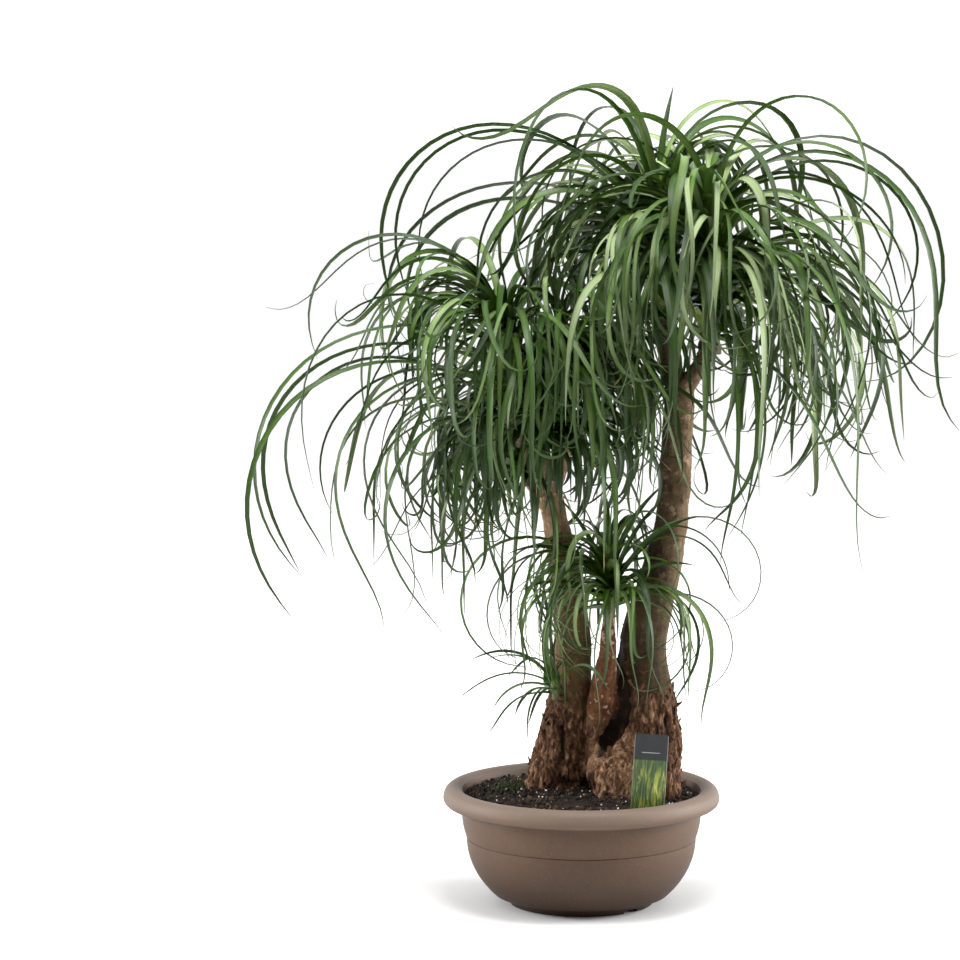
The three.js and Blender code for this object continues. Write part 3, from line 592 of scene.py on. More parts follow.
def grown_leaf(number, place, attempt):
    head = HEADS[number]

    def chance(channel):
        return draw(number, place, attempt, channel)

    def swing(channel):
        return 2 * chance(channel) - 1

    outer = place < len(OUTER_LEAVES[number])
    youth = 0.6 if outer else youth_of(number, place)
    values = (*OUTER_LEAVES[number][place], 1.15) if outer else spiral_leaf(number, place, youth, chance)
    up, turn, rise, fall, length, late, flick, hang = values
    loose = (0.5 * min(attempt, 4) if outer else 1) * (1 + attempt / 40)
    heading = turn + STRAY["heading"] * loose * swing(1)
    added = place >= head["count"]
    slender = SLENDER[0] + SLENDER[1] * chance(13) if added else OUTER_WIDTH if outer else 1
    wild = head["wild"] if added else 1
    aside = np.array((math.cos(math.radians(heading)), math.sin(math.radians(heading)), 0))
    root = mix(np.array(head["foot"]), np.array(head["top"]), up) + 0.25 * mix(*head["radius"], up) * aside
    return dict(
        heading=heading,
        rise=min(88, rise + STRAY["rise"] * loose * swing(2)),
        fall=fall + STRAY["fall"] * loose * swing(3),
        length=length * (1 - attempt / 260),
        late=late,
        flick=flick * wild,
        hang=hang,
        drift=STRAY["drift"] * loose * swing(7) * wild,
        twist=STRAY["twist"] * swing(8),
        roll=0,
        width=head["width"] * (0.88 + 0.24 * chance(9)) * slender,
        full=head["full"],
        root=root,
        youth=youth,
        # Painted light: the outline's leaves get half tone as painted shade, the others their head's share of
        # painted sheen.
        luck=chance(11) * (0.5 if outer else head["light"]),
        dry=chance(12),
    )


def leaf_path(leaf):
    """Points along the leaf's middle line, with the directions across it and out of its face."""
    t = np.linspace(0, 1, PATH_STEPS + 1)
    bent = 1 - (1 - t ** leaf["late"]) ** leaf["hang"]
    angle = np.radians(mix(leaf["rise"], leaf["fall"], bent) + leaf["flick"] * t**6)
    heading = np.radians(leaf["heading"] + leaf["drift"] * t * t)
    along = np.stack([np.cos(angle) * np.cos(heading), np.cos(angle) * np.sin(heading), np.sin(angle)], 1)
    level = np.stack([-np.sin(heading), np.cos(heading), 0 * t], 1)
    up = np.cross(along, level)
    twist = np.radians(leaf["twist"] * t + leaf["roll"])[:, None]
    across = level * np.cos(twist) + up * np.sin(twist)
    face = up * np.cos(twist) - level * np.sin(twist)
    steps = along * leaf["length"] / PATH_STEPS
    steps[0] = 0
    return leaf["root"] + np.cumsum(steps, 0), across, face, angle


def leaf_width(leaf, t):
    slim = leaf["width"] * (1 - t ** leaf["full"]) ** 0.8
    return slim * (1 + BASE_FLARE * np.exp(-(((t - 0.06) / 0.06) ** 2))) * (1 - 0.5 * np.exp(-t / 0.02))


def tube(sides, rings):
    """A closed upright tube, two units wide and one long, with level rings."""
    bm = bmesh.new()
    bmesh.ops.create_cone(bm, cap_ends=True, segments=sides, radius1=1, radius2=1, depth=1)
    upright = [e for e in bm.edges if abs(e.verts[0].co.z - e.verts[1].co.z) > 0.5]
    bmesh.ops.subdivide_edges(bm, edges=upright, cuts=rings - 1, use_grid_fill=True)
    return bm


def blank_leaf():
    """The four-sided tube that every leaf is bent from, with edges, a valley and a keel for its corners."""
    bm = tube(4, LEAF_RINGS)
    for edge in bm.edges:
        edge.smooth = not all(abs(v.co.x) > 0.5 for v in edge.verts)
    uv = bm.loops.layers.uv.new("blade")
    for face in bm.faces:
        below = face.calc_center_median().y < 0
        for loop in face.loops:
            x, _, z = loop.vert.co
            share = (x + 1) / 2
            loop[uv].uv = (2 - share if below else share, z + 0.5)
    return mesh_from(bm, "blank_leaf")


def stations(angle):
    """Where along its path a leaf has its rings: closer together where it bends more."""
    turned = np.abs(np.diff(angle))
    cost = np.concatenate([[0], np.cumsum(1 / PATH_STEPS + turned / 4)])
    return np.interp(np.linspace(0, cost[-1], LEAF_RINGS + 1), cost, np.arange(PATH_STEPS + 1))


def along_curve(points, at):
    """Points on the smooth curve through the given points, at fractional places."""
    padded = np.concatenate([[2 * points[0] - points[1]], points, [2 * points[-1] - points[-2]]])
    index = np.minimum(at.astype(int), len(points) - 2)
    t = (at - index)[:, None]
    a, b, c, d = (padded[index + k] for k in range(4))
    return 0.5 * (2 * b + (c - a) * t + (2 * a - 5 * b + 4 * c - d) * t**2 + (3 * b - a - 3 * c + d) * t**3)


def between(values, at):
    index = np.minimum(at.astype(int), len(values) - 2)
    share = (at - index)[:, None]
    mixed = values[index] * (1 - share) + values[index + 1] * share
    return mixed / np.linalg.norm(mixed, axis=1)[:, None]


def bent_leaf(leaf, ring, side, level):
    """The corners of one leaf, for the blank's corners given as ring number, side and level."""
    points, across, face, angle = leaf_path(leaf)
    at = stations(angle)
    t = at / PATH_STEPS
    half = np.maximum(leaf_width(leaf, t) / 2, THINNEST)
    middle, across, face = along_curve(points, at), between(across, at), between(face, at)
    keel = KEEL * (1 - 0.75 * t) + 0.05
    clasp = EDGE_LIFT + 0.5 * np.exp(-t / 0.08)
    lift = np.where(level == 0, clasp[ring] * half[ring], -VALLEY_DEPTH * half[ring])
    lift = lift - np.where(level < 0, keel[ring], 0)
    return (middle[ring] + across[ring] * (side * half[ring])[:, None] + face[ring] * lift[:, None]) * MM


def chosen_attempt(number, place, tree):
    """Which try the part's source kept at a place: the one whose tip is a corner of the head's node."""
    for attempt in range(TRIES):
        leaf = grown_leaf(number, place, attempt)
        tip = leaf_path(leaf)[0][-1] * MM
        if tree.find(tip)[2] < TIP_MATCH:
            return leaf
    return None


def corner_tree(node):
    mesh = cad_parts[node].data
    tree = KDTree(len(mesh.vertices))
    for vertex in mesh.vertices:
        tree.insert(vertex.co, vertex.index)
    tree.balance()
    return tree


def surfaces(*nodes):
    """A search tree over the faces of CAD nodes."""
    bm = bmesh.new()
    for node in nodes:
        bm.from_mesh(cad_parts[node].data)
    tree = BVHTree.FromBMesh(bm)
    bm.free()
    return tree


def keeps_clear(leaf, solids):
    """Whether an added leaf stays in the plant's box and out of the trunks, pot, soil and label."""
    points = leaf_path(leaf)[0]
    if (points < PLANT_BOX[0]).any() or (points > PLANT_BOX[1]).any():
        return False
    for point in points[3:] * MM:
        spot, normal, _, distance = solids.find_nearest(point)
        if distance < CLEARANCE or (Vector(point) - spot).dot(normal) < 0 and distance < INSIDE_REACH:
            return False
    return True


def extra_leaf(number, values):
    """A leaf that follows its own values alone."""
    head = HEADS[number]
    up, heading, rise, fall, length, late, flick, hang, width = values
    root = mix(np.array(head["foot"]), np.array(head["top"]), up)
    roll = math.copysign(ROLLS[0] if length < SHORT else ROLLS[1], math.cos(math.radians(heading)))
    return dict(heading=heading, rise=rise, fall=fall, length=length, late=late, flick=flick, hang=hang,
                drift=0, twist=20, roll=roll, width=width, full=head["full"], root=root, youth=0.3, luck=0.35,
                dry=0)


def wisps():
    """Hair-thin pale leaves of the middle head that curl down before the left trunk."""
    thin = []
    for i in range(WISPS):
        first, second, third = (draw(77, i, k) for k in range(3))
        values = (0.15 + 0.5 * first, 168 + 62 * second, 15 + 45 * third, mix(-120, -200, first),
                  130 + 150 * third, 1.2, 120 * second - 50, 1.2, 1.9 + 0.9 * first)
        thin.append(extra_leaf(MIDDLE_HEAD, values) | dict(luck=0.8, youth=0.9, drift=60 * (third - 0.5)))
    return thin


def skirt(number):
    """Short dark leaves at the foot of a left head that hide where its trunk forks."""
    low = []
    for i in range(SKIRT):
        first, second, third = (draw(91, number, i, k) for k in range(3))
        values = (0.02 + 0.2 * first, 200 + 140 * second, 5 + 40 * third, mix(-95, -150, third),
                  90 + 110 * first, 1.4, 100 * third - 60, 1.3, 5.5 + 2.5 * second)
        low.append(extra_leaf(number, values) | dict(luck=0.3 * third, roll=0, twist=90 * (second - 0.5)))
    return low


def added_leaf(number, place, solids):
    for attempt in range(ADDED_TRIES):
        leaf = grown_leaf(number, place, attempt)
        if keeps_clear(leaf, solids):
            return leaf
    return None


def leaves_of(number, solids):
    """All leaves of a head: those of its node, then the finer growth between them."""
    head = HEADS[number]
    tree = corner_tree(head["name"])
    own = [chosen_attempt(number, place, tree) for place in range(head["count"])]
    more = [added_leaf(number, head["count"] + i, solids) for i in range(head["more"])]
    extra = [extra_leaf(number, values) for values in EXTRA_LEAVES.get(number, [])]
    loose = wisps() if number == MIDDLE_HEAD else skirt(number) if number in LEFT_HEADS else []
    extra += [leaf for leaf in loose if keeps_clear(leaf, solids)]
    return [leaf for leaf in own + more if leaf] + extra


def leaf_piece(number, blank, solids, material):
    head = HEADS[number]
    leaves = leaves_of(number, solids)
    mesh = copies(blank, len(leaves), head["name"])
    corners = corners_of(blank)
    ring = np.round((corners[:, 2] + 0.5) * LEAF_RINGS).astype(int)
    side, level = np.round(corners[:, 0]), np.round(corners[:, 1])
    move_corners(mesh, [bent_leaf(leaf, ring, side, level) for leaf in leaves])
    give(mesh, "tone", [[(leaf["youth"], leaf["luck"], leaf["dry"], 1)] * len(corners) for leaf in leaves])
    return finish_piece(head["name"] + "_blades", mesh, material, [head["name"]])


def leaf_stems(material):
    """The stems that the leaves grow from, thick with the feet of fallen leaves."""
    blank = mesh_from(tube(STEM_SIDES, STEM_RINGS), "blank_stem")
    corners = [vertex.co.copy() for vertex in blank.vertices]
    mesh = copies(blank, len(HEADS), "leaf_stems")
    places, heights = [], []
    for number, head in enumerate(HEADS):
        foot, top = Vector(head["foot"]), Vector(head["top"])
        for corner in corners:
            share = corner.z + 0.5
            radius = mix(head["radius"][0], head["radius"][1] * 0.7, share**0.7)
            angle = math.atan2(corner.y, corner.x)
            ring = round(share * STEM_RINGS)
            scar = 0.12 * math.sin(angle * 3 + ring * 2.4)
            scar += 0.1 * (draw(number, ring, round(angle * 9) + 60) - 0.5)
            out = Vector((math.cos(angle), math.sin(angle), 0)) * radius * (1 + scar) * math.hypot(*corner.xy)
            places.append((foot.lerp(top, share) + out - Vector((0, 0, STEM_SINK * (1 - share)))) * MM)
            heights.append((share, share, share, 1))
    move_corners(mesh, places)
    give(mesh, "height", heights)
    return finish_piece("leaf_stems", mesh, material)


# Bark: where the cork ends in millimetres, the waves of its strands per metre, and the size of its plates in
# metres. The front bulge or knob and the thin middle stem are given by balls that cover them, in millimetres.
# The cuts are reddish ends of two stubs. The trunk's fine mesh has voxels of this many metres.
CORK_TOP = 232
STRAND_WAVES = Vector((235, 235, 58))
KNOB_WAVES = Vector((250, 250, 180))
PLATE = (0.0052, 0.0052, 0.0105)
KNOB = [
    (37, -27, 114, 28), (37, -27, 131, 32), (37, -27, 148, 33.5), (36, -25, 164, 27.5), (35, -19, 176, 18),
]
MIDDLE_STEM = [
    (22, -18, 212, 14), (22.6, -20, 236, 15.4), (25.6, -25, 261, 12.3), (27.3, -28, 287, 9),
    (28.2, -28, 309, 7.2), (28.6, -28, 322, 6.8),
]
CUTS = [Vector((-39, 4, 487)) * MM, Vector((-15, -27, 230)) * MM]
VOXEL = 0.00172
SMOOTH_STEPS = 14

# Flakes of loose bark: how many, round which uprights, their usual height with its spread and how many keep
# to it, the height of the others, how tall and wide they are, how thick they are to their width, how far
# outside an upright the search for the bark starts in metres, and how many corners in a row share a tone.
FLAKE_COUNT = 420
FLAKE_SEED = 9
LOBES = [(-20, 12), (64, -3), (64, -3), (36, -24)]
FLAKE_LEVEL = (222, 16)
FLAKES_THERE = 0.55
FLAKE_RANGE = (122, 215)
FLAKE_TALL = (5, 19)
FLAKE_WIDE = (2.4, 6)
FLAKE_THICK = 0.09
FLAKE_REACH = 0.12
FLAKE_TONES = 24

# Clefts in the front of the trunks: across, height, half width and depth of each stop, in millimetres.
CLEFTS = [
    [(38.6, 285, 3, 2), (43, 248, 6.5, 5), (45, 229, 8, 8), (44, 211, 8.5, 10), (40, 201, 8.5, 11),
     (34.4, 191.5, 9, 11), (28, 182.5, 8.5, 10), (20, 173, 5, 6), (12, 166, 3, 2)],
    [(-25, 216, 2.5, 2), (-23, 191, 4, 6), (-20.6, 173, 3.5, 6), (-21.5, 157, 3, 3), (-22, 146, 2, 1)],
    [(13, 160, 3, 2), (7, 145, 5, 5), (5, 132, 6, 7), (8, 118, 7, 8)],
    [(88, 222, 2.5, 2), (90, 208, 3.5, 5), (92, 190, 3, 4), (91, 172, 2, 1)],
]


def fine_trunk():
    """The CAD trunk as a fine even mesh with its flat sides smoothed away."""
    bm = bmesh.new()
    bm.from_mesh(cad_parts["trunk"].data)
    bmesh.ops.remove_doubles(bm, verts=bm.verts, dist=0.00002)

    def modifiers(worker):
        remesh = worker.modifiers.new("fine", "REMESH")
        remesh.mode = "VOXEL"
        remesh.voxel_size = VOXEL
        smooth = worker.modifiers.new("smooth", "SMOOTH")
        smooth.factor = 0.5
        smooth.iterations = SMOOTH_STEPS

    return applied(mesh_from(bm, "trunk"), modifiers)


def near(stops, point, reach):
    """How near a point in millimetres is to the balls given as place and radius, from 0 to 1."""
    least = min((Vector(stop[:3]) - point).length - stop[3] for stop in stops)
    return 1 - smoothstep(*reach, least)


def near_stem(point):
    """How far a point belongs to the thin middle stem's bark, from 0 to 1."""
    return near(MIDDLE_STEM, point, (4, 13)) * smoothstep(190, 216, point.z + 9 * noise.noise(point * 0.06))


def scaled(point, waves):
    return Vector((point.x * waves.x, point.y * waves.y, point.z * waves.z))


def cleft_at(point):
    """How deep a point in millimetres lies in a cleft, and how much painted shade the cleft lays on it there,
    from 0 to 1.
    """
    depth = dark = 0
    if point.y > 8:
        return depth, dark
    spot = Vector((point.x, point.z)) + noise.noise_vector(point * 0.09).xy * 3
    for stops in CLEFTS:
        for (x, z, width, deep), (next_x, next_z, next_width, next_deep) in zip(stops, stops[1:]):
            start, way = Vector((x, z)), Vector((next_x - x, next_z - z))
            share = min(1, max(0, (spot - start).dot(way) / way.length_squared))
            aside = (spot - start - way * share).length / mix(width, next_width, share)
            shape = 1 - smoothstep(0.25, 1.25, aside)
            depth = max(depth, shape * mix(deep, next_deep, share))
            dark = max(dark, shape * min(1, mix(deep, next_deep, share) / 6))
    return depth, dark


def bark_at(point):
    """How far the bark stands out at a point, and what it is there: cork, crack with painted shade in the
    clefts, plate and stem.
    """
    level = point.z / MM + 20 * noise.noise(point * 45)
    stem = near_stem(point / MM)
    cork = (1 - smoothstep(CORK_TOP - 30, CORK_TOP + 14, level)) * (1 - stem)
    knob = near(KNOB, point / MM, (1, 9))
    lump = noise.noise(point * 26) * 0.0030 + noise.noise(point * 70 + Vector((5, 2, 8))) * 0.0014
    lump *= 1 - 0.6 * knob
    warped = point + noise.noise_vector(point * 60) * 0.0036 + noise.noise_vector(point * 230) * 0.0010
    waves = STRAND_WAVES.lerp(KNOB_WAVES, knob)
    strand = min(1, abs(noise.noise(scaled(warped, waves))) * 2.4)
    fibre = min(1, abs(noise.noise(scaled(warped, waves) * 2.2 + Vector((3, 9, 4)))) * 2.4)
    spots = noise.voronoi(Vector([warped[i] / PLATE[i] for i in range(3)]))[1]
    plate = strand * 0.5 + fibre * 0.25 + (noise.cell(spots[0] * 3.7) * 0.5 + 0.5) * 0.25
    crack = 1 - smoothstep(0.0, 0.34, strand)
    rough = noise.noise(point * 230) * 0.0006 + noise.noise(point * 420) * 0.0004
    corky = lump + (plate * 0.0044 - 0.0019) * mix(1, 0.5, knob) + rough
    depth, dark = cleft_at(point / MM)
    ringed = Vector((point.x * 60, point.y * 60, point.z * 330))
    smooth = noise.noise(ringed) * 0.00045 + noise.noise(point * 45) * 0.0011
    out = mix(smooth, corky, cork) - depth * (1 - stem) * MM
    # The crack tone also carries the clefts' painted shade.
    return out, (cork, max(crack * cork * mix(0.8, 0.4, knob), dark * 1.6), plate, 1), stem, knob


def flakes(mesh):
    """Ragged flakes of cork that stand off the bark, thickest where the smooth bark begins."""
    bark = BVHTree.FromPolygons([v.co for v in mesh.vertices], [p.vertices for p in mesh.polygons])
    dice = random.Random(FLAKE_SEED)
    bm = bmesh.new()
    blank = bmesh.new()
    bmesh.ops.create_grid(blank, x_segments=3, y_segments=4, size=0.5)
    bmesh.ops.solidify(blank, geom=blank.faces[:], thickness=FLAKE_THICK)
    blank_mesh = mesh_from(blank, "blank_flake", False)
    for _ in range(FLAKE_COUNT):
        lobe = dice.choice(LOBES)
        level = dice.gauss(*FLAKE_LEVEL) if dice.random() < FLAKES_THERE else dice.uniform(*FLAKE_RANGE)
        turn = dice.uniform(0, 2 * math.pi)
        middle = Vector((lobe[0], lobe[1], level)) * MM
        out = Vector((math.cos(turn), math.sin(turn), 0))
        spot, normal, _, _ = bark.ray_cast(middle + out * FLAKE_REACH, -out)
        if spot is None or near_stem(spot / MM) > 0.1:
            continue
        tall, wide = dice.uniform(*FLAKE_TALL) * MM, dice.uniform(*FLAKE_WIDE) * MM
        up = (Vector((dice.gauss(0, 0.16), dice.gauss(0, 0.16), 1)) - normal * normal.z).normalized()
        side = up.cross(normal).normalized()
        lift, curl = dice.uniform(-0.2, 1.0), dice.uniform(0.4, 2.2) * MM
        first = len(bm.verts)
        bm.from_mesh(blank_mesh)
        bm.verts.ensure_lookup_table()
        for vertex in bm.verts[first:]:
            x, y, z = vertex.co
            ragged = 1 + 0.5 * (dice.random() - 0.5)
            off = curl * (max(0, y * lift + 0.25) * 2 - 3.4 * x * x) + z * wide * 2 - 0.0002
            vertex.co = spot + side * (x * wide * ragged) + up * (y * tall * ragged) + normal * off
    return bm


def trunk_piece(material):
    mesh = fine_trunk()
    places, bark, zone = [], [], []
    for vertex in mesh.vertices:
        out, tones, stem, knob = bark_at(vertex.co)
        places.append(vertex.co + vertex.normal * out)
        bark.append(tones)
        cut = 1 - smoothstep(0.004, 0.012, min((vertex.co - spot).length for spot in CUTS))
        zone.append((cut, stem, knob, 1))
    move_corners(mesh, places)
    mesh.shade_smooth()
    loose = flakes(mesh)
    bark += [(1, 0, 0.3 + 0.4 * draw(31, i // FLAKE_TONES), 1) for i in range(len(loose.verts))]
    zone += [(0, 0, 0, 1)] * len(loose.verts)
    whole = bmesh.new()
    whole.from_mesh(mesh)
    whole.from_mesh(mesh_from(loose, "flakes", False))
    whole.to_mesh(mesh)
    whole.free()
    give(mesh, "bark", bark)
    give(mesh, "zone", zone)
    mesh.update()
    return finish_piece("trunk_bark", mesh, material, ["trunk"])


# Pot and soil, in millimetres: the bowl's widest radius and its depth below the line round it, the notches in
# the foot ring and the drains, and the soil's height at its edge with its heap over it. Loose bits lie within
# their own radius, in metres.
POT_STEPS, SOIL_STEPS = 144, 180
WALL = 2.5
BOWL_RADIUS, BOWL_DEPTH, LINE_HEIGHT, LINE_DEPTH = 124.8, 95, 72, 0.7
NECK_INSIDE = 126.7
FLOOR_TOP, CORNER_TOP = 10, 14
NOTCH_TURNS, NOTCH_RADIUS, NOTCH_SIZE = (-49.5, 70.5, 190.5), 79, (16, 18, 9)
DRAIN_TURNS, DRAIN_CIRCLE, DRAIN_RADIUS = (45, 135, 225, 315), 48, 5
SOIL_EDGE, SOIL_HEAP, SOIL_RADIUS = 116.5, 11.5, 126.4
BITS_RADIUS = 0.125

# Moss: where its tufts lie with their spread, both in metres, and how many there are.
MOSS_PLACE, MOSS_SPREAD, MOSS_TUFTS, MOSS_SEED = (-0.079, 0.008), (0.008, 0.014), 170, 8


def bowl_radius(level):
    return BOWL_RADIUS * math.sqrt(1 - ((LINE_HEIGHT - level) / BOWL_DEPTH) ** 2)


def rounded(points, steps):
    """A smooth profile through the given points."""
    at = np.linspace(0, len(points) - 1, (len(points) - 1) * steps + 1)
    return [tuple(p) for p in along_curve(np.array(points, float), at)]


def turned(profile, steps):
    """A closed solid spun about the pot's axis from a profile of radius and height."""
    bm = bmesh.new()
    line = [bm.verts.new((r * MM, 0, z * MM)) for r, z in profile]
    edges = [bm.edges.new(pair) for pair in zip(line, line[1:])]
    bmesh.ops.spin(bm, geom=line + edges, cent=(0, 0, 0), axis=(0, 0, 1), angle=2 * math.pi, steps=steps,
                   use_merge=True)
    bmesh.ops.remove_doubles(bm, verts=bm.verts, dist=0.000004)
    bmesh.ops.recalc_face_normals(bm, faces=bm.faces)
    return bm


def pot_profile():
    foot = [(0, 0), (15.6, 0), (16, 0.4), (16, 6.5), (74.6, 6.5), (75, 6.1), (75, 0.5), (75.5, 0), (78.4, 0),
            (79, 0.4), (79.6, 1.6), (86.6, 8.4), (87.4, 9)]
    bowl = [(bowl_radius(z), z) for z in np.linspace(10, LINE_HEIGHT - LINE_DEPTH, 22)]
    line = [(BOWL_RADIUS - 0.1, LINE_HEIGHT - 0.6), (BOWL_RADIUS - LINE_DEPTH, LINE_HEIGHT),
            (BOWL_RADIUS - 0.2, LINE_HEIGHT + 0.4), (BOWL_RADIUS + 0.5, LINE_HEIGHT + 0.9)]
    neck = rounded([(BOWL_RADIUS + LINE_DEPTH, LINE_HEIGHT + 2.2), (127.4, 80), (129.2, 88), (130.1, 97),
                    (130.2, 105), (130.2, 122)], 3)
    under = rounded([(139, 125), (147, 117), (142.4, 108.5), (143.6, 107.5)], 3)
    rim = rounded([(143.6, 107.5), (147.6, 109.4), (150, 113), (150, 118), (147.4, 124.2), (141.5, 127.8),
                   (134.5, 127.1), (129.8, 123.8)], 5)[1:]
    inside = rounded([(129.8, 123.8), (128.4, 112), (NECK_INSIDE, 88)], 3)[1:]
    bowl_inside = [(bowl_radius(z) - WALL, z) for z in np.linspace(LINE_HEIGHT, CORNER_TOP, 14)]
    floor = rounded([(bowl_radius(CORNER_TOP) - WALL, CORNER_TOP),
                     (bowl_radius(FLOOR_TOP) - WALL - 5, FLOOR_TOP), (60, FLOOR_TOP), (0, FLOOR_TOP)], 3)[1:]
    return foot + bowl + line + neck + under + rim + inside + bowl_inside + floor


def cutter(make):
    """A worker object that cuts its shape out of the pot."""
    bm = bmesh.new()
    make(bm)
    bmesh.ops.recalc_face_normals(bm, faces=bm.faces)
    return put("cutter", mesh_from(bm, "cutter", False))


def turned_about(turn, place):
    """Moves a thing out to a place and then turns it about the pot's axis."""
    return Matrix.Rotation(math.radians(turn), 4, "Z") @ Matrix.Translation(place)


def notches(bm):
    for turn in NOTCH_TURNS:
        size = Matrix.Diagonal((*Vector(NOTCH_SIZE) * MM, 1))
        place = turned_about(turn, (NOTCH_RADIUS * MM, 0, 0)) @ size
        block = bmesh.ops.create_cube(bm, size=1, matrix=place)["verts"]
        edges = list({e for v in block for e in v.link_edges})
        bmesh.ops.bevel(bm, geom=edges, offset=0.001, segments=3, profile=0.5, affect="EDGES", material=-1)


def drains(bm):
    for turn in DRAIN_TURNS:
        place = turned_about(turn, (DRAIN_CIRCLE * MM, 0, 0.008))
        bmesh.ops.create_cone(bm, cap_ends=True, segments=32, radius1=DRAIN_RADIUS * MM,
                              radius2=DRAIN_RADIUS * MM, depth=0.02, matrix=place)


def pot_piece(material):
    whole = mesh_from(turned(pot_profile(), POT_STEPS), "pot")
    cutters = [cutter(notches), cutter(drains)]

    def modifiers(worker):
        for tool in cutters:
            cut = worker.modifiers.new("cut", "BOOLEAN")
            cut.operation = "DIFFERENCE"
            cut.object = tool
            cut.solver = "EXACT"

    mesh = applied(whole, modifiers)
    for tool in cutters:
        bpy.data.objects.remove(tool)
    mesh.set_sharp_from_angle(angle=math.radians(40))
    return finish_piece("bowl_pot", mesh, material, ["pot"])


def soil_level(x, y):
    """Height of the soil in metres at a place in metres."""
    share = (math.hypot(x, y) / (SOIL_RADIUS * MM)) ** 2
    spot = Vector((x, y, 0))
    bumps = noise.noise(spot * 38) * 0.0024 + noise.noise(spot * 120) * 0.0014
    bumps += noise.noise(spot * 330) * 0.0007
    return (SOIL_EDGE + SOIL_HEAP * (1 - share)) * MM + bumps


def soil_piece(material):
    top = [(r, SOIL_EDGE) for r in np.linspace(127.6, 0, 52)]
    side = [(0, 10.6), (90, 10.6), (110, 36), (120, 60), (124, 84), (127.4, 108)]
    bm = turned(side + top, SOIL_STEPS)
    for vertex in bm.verts:
        if vertex.co.z > (SOIL_EDGE - 1) * MM:
            vertex.co.z = soil_level(vertex.co.x, vertex.co.y)
    return finish_piece("soil_bed", mesh_from(bm, "soil_bed"), material, ["soil"])


def scatter(name, blank, count, size, seed, material, flat=(0.5, 1), sink=0.2):
    """Loose bits strewn over the soil, each turned, squashed and toned by chance."""
    dice = random.Random(seed)
    shape = corners_of(blank)
    places, tones = [], []
    for _ in range(count):
        radius, turn = BITS_RADIUS * math.sqrt(dice.random()), dice.random() * 2 * math.pi
        x, y = radius * math.cos(turn), radius * math.sin(turn)
        big = mix(*size, dice.random() ** 2) * MM
        turned_by = np.array(Euler([dice.random() * 6.3 for _ in range(3)]).to_matrix())
        squash = np.array([1, dice.uniform(*flat), dice.uniform(*flat)])
        jitter = 1 + 0.3 * (np.array([dice.random() for _ in shape]) - 0.5)[:, None]
        level = soil_level(x, y) + big * (0.5 - sink)
        places.append((shape * jitter * squash * big) @ turned_by.T + (x, y, level))
        tones.append([(dice.random(), 0, 0, 1)] * len(shape))
    mesh = copies(blank, count, name, False)
    move_corners(mesh, places)
    give(mesh, "tone", tones)
    return finish_piece(name, mesh, material)


def soil_bits():
    peat = crumb_paint("peat_crumb", [(0.2, (0.005, 0.003, 0.002)), (0.55, (0.018, 0.011, 0.007)),
                                      (0.85, (0.060, 0.036, 0.020))], 0.8)
    wood = crumb_paint("wood_crumb", [(0.2, (0.09, 0.045, 0.02)), (0.6, (0.22, 0.12, 0.06)),
                                      (0.85, (0.42, 0.28, 0.16))], 0.75)
    white = crumb_paint("perlite", [(0.2, (0.42, 0.38, 0.31)), (0.6, (0.70, 0.67, 0.60)),
                                    (0.9, (0.86, 0.84, 0.80))], 0.85)
    bm = bmesh.new()
    bmesh.ops.create_icosphere(bm, subdivisions=1, radius=1)
    pebble = mesh_from(bm, "blank_pebble")
    scatter("peat_crumbs", pebble, 1500, (1.0, 3.8), 5, peat)
    scatter("wood_crumbs", pebble, 130, (0.8, 3.4), 6, wood, flat=(0.2, 0.45))
    scatter("perlite_grains", pebble, 260, (0.6, 1.6), 7, white, sink=-0.1)


def moss_piece(material):
    """A small patch of moss on the soil, left of the trunks."""
    dice = random.Random(MOSS_SEED)
    bm = bmesh.new()
    layer = bm.verts.layers.float_color.new("tone")
    for _ in range(MOSS_TUFTS):
        x, y = (middle + dice.gauss(0, spread) for middle, spread in zip(MOSS_PLACE, MOSS_SPREAD))
        tall = dice.uniform(0.003, 0.008)
        lean = Euler((dice.gauss(0, 0.5), dice.gauss(0, 0.5), dice.random() * 6)).to_matrix().to_4x4()
        place = Matrix.Translation((x, y, soil_level(x, y) + tall * 0.3)) @ lean
        made = bmesh.ops.create_cone(bm, cap_ends=True, segments=4, radius1=0.0011, radius2=0.0002,
                                     depth=tall, matrix=place)
        tone = dice.random()
        for vertex in made["verts"]:
            vertex[layer] = (tone, 0, 0, 1)
    return finish_piece("moss_patch", mesh_from(bm, "moss_patch"), material)


# Label, in millimetres and degrees: its card, and how far the stake drops and narrows below it in each step.
CARD_WIDTH, CARD_HEIGHT, CARD_LOW, CARD_THICK = 36, 94, -6, 1.2
STAKE = ((-9, 9 / CARD_WIDTH), (-20, 1), (-9, 0.06))
LABEL_PLACE, LABEL_LEAN, LABEL_BACK = (67, -93, 112), 3.4, 4


def lowest_edge(edges):
    """The lowest of some edges, and the widest of those that are as low."""
    return min(edges, key=lambda e: sum(v.co.y for v in e.verts) - 0.001 * e.calc_length())


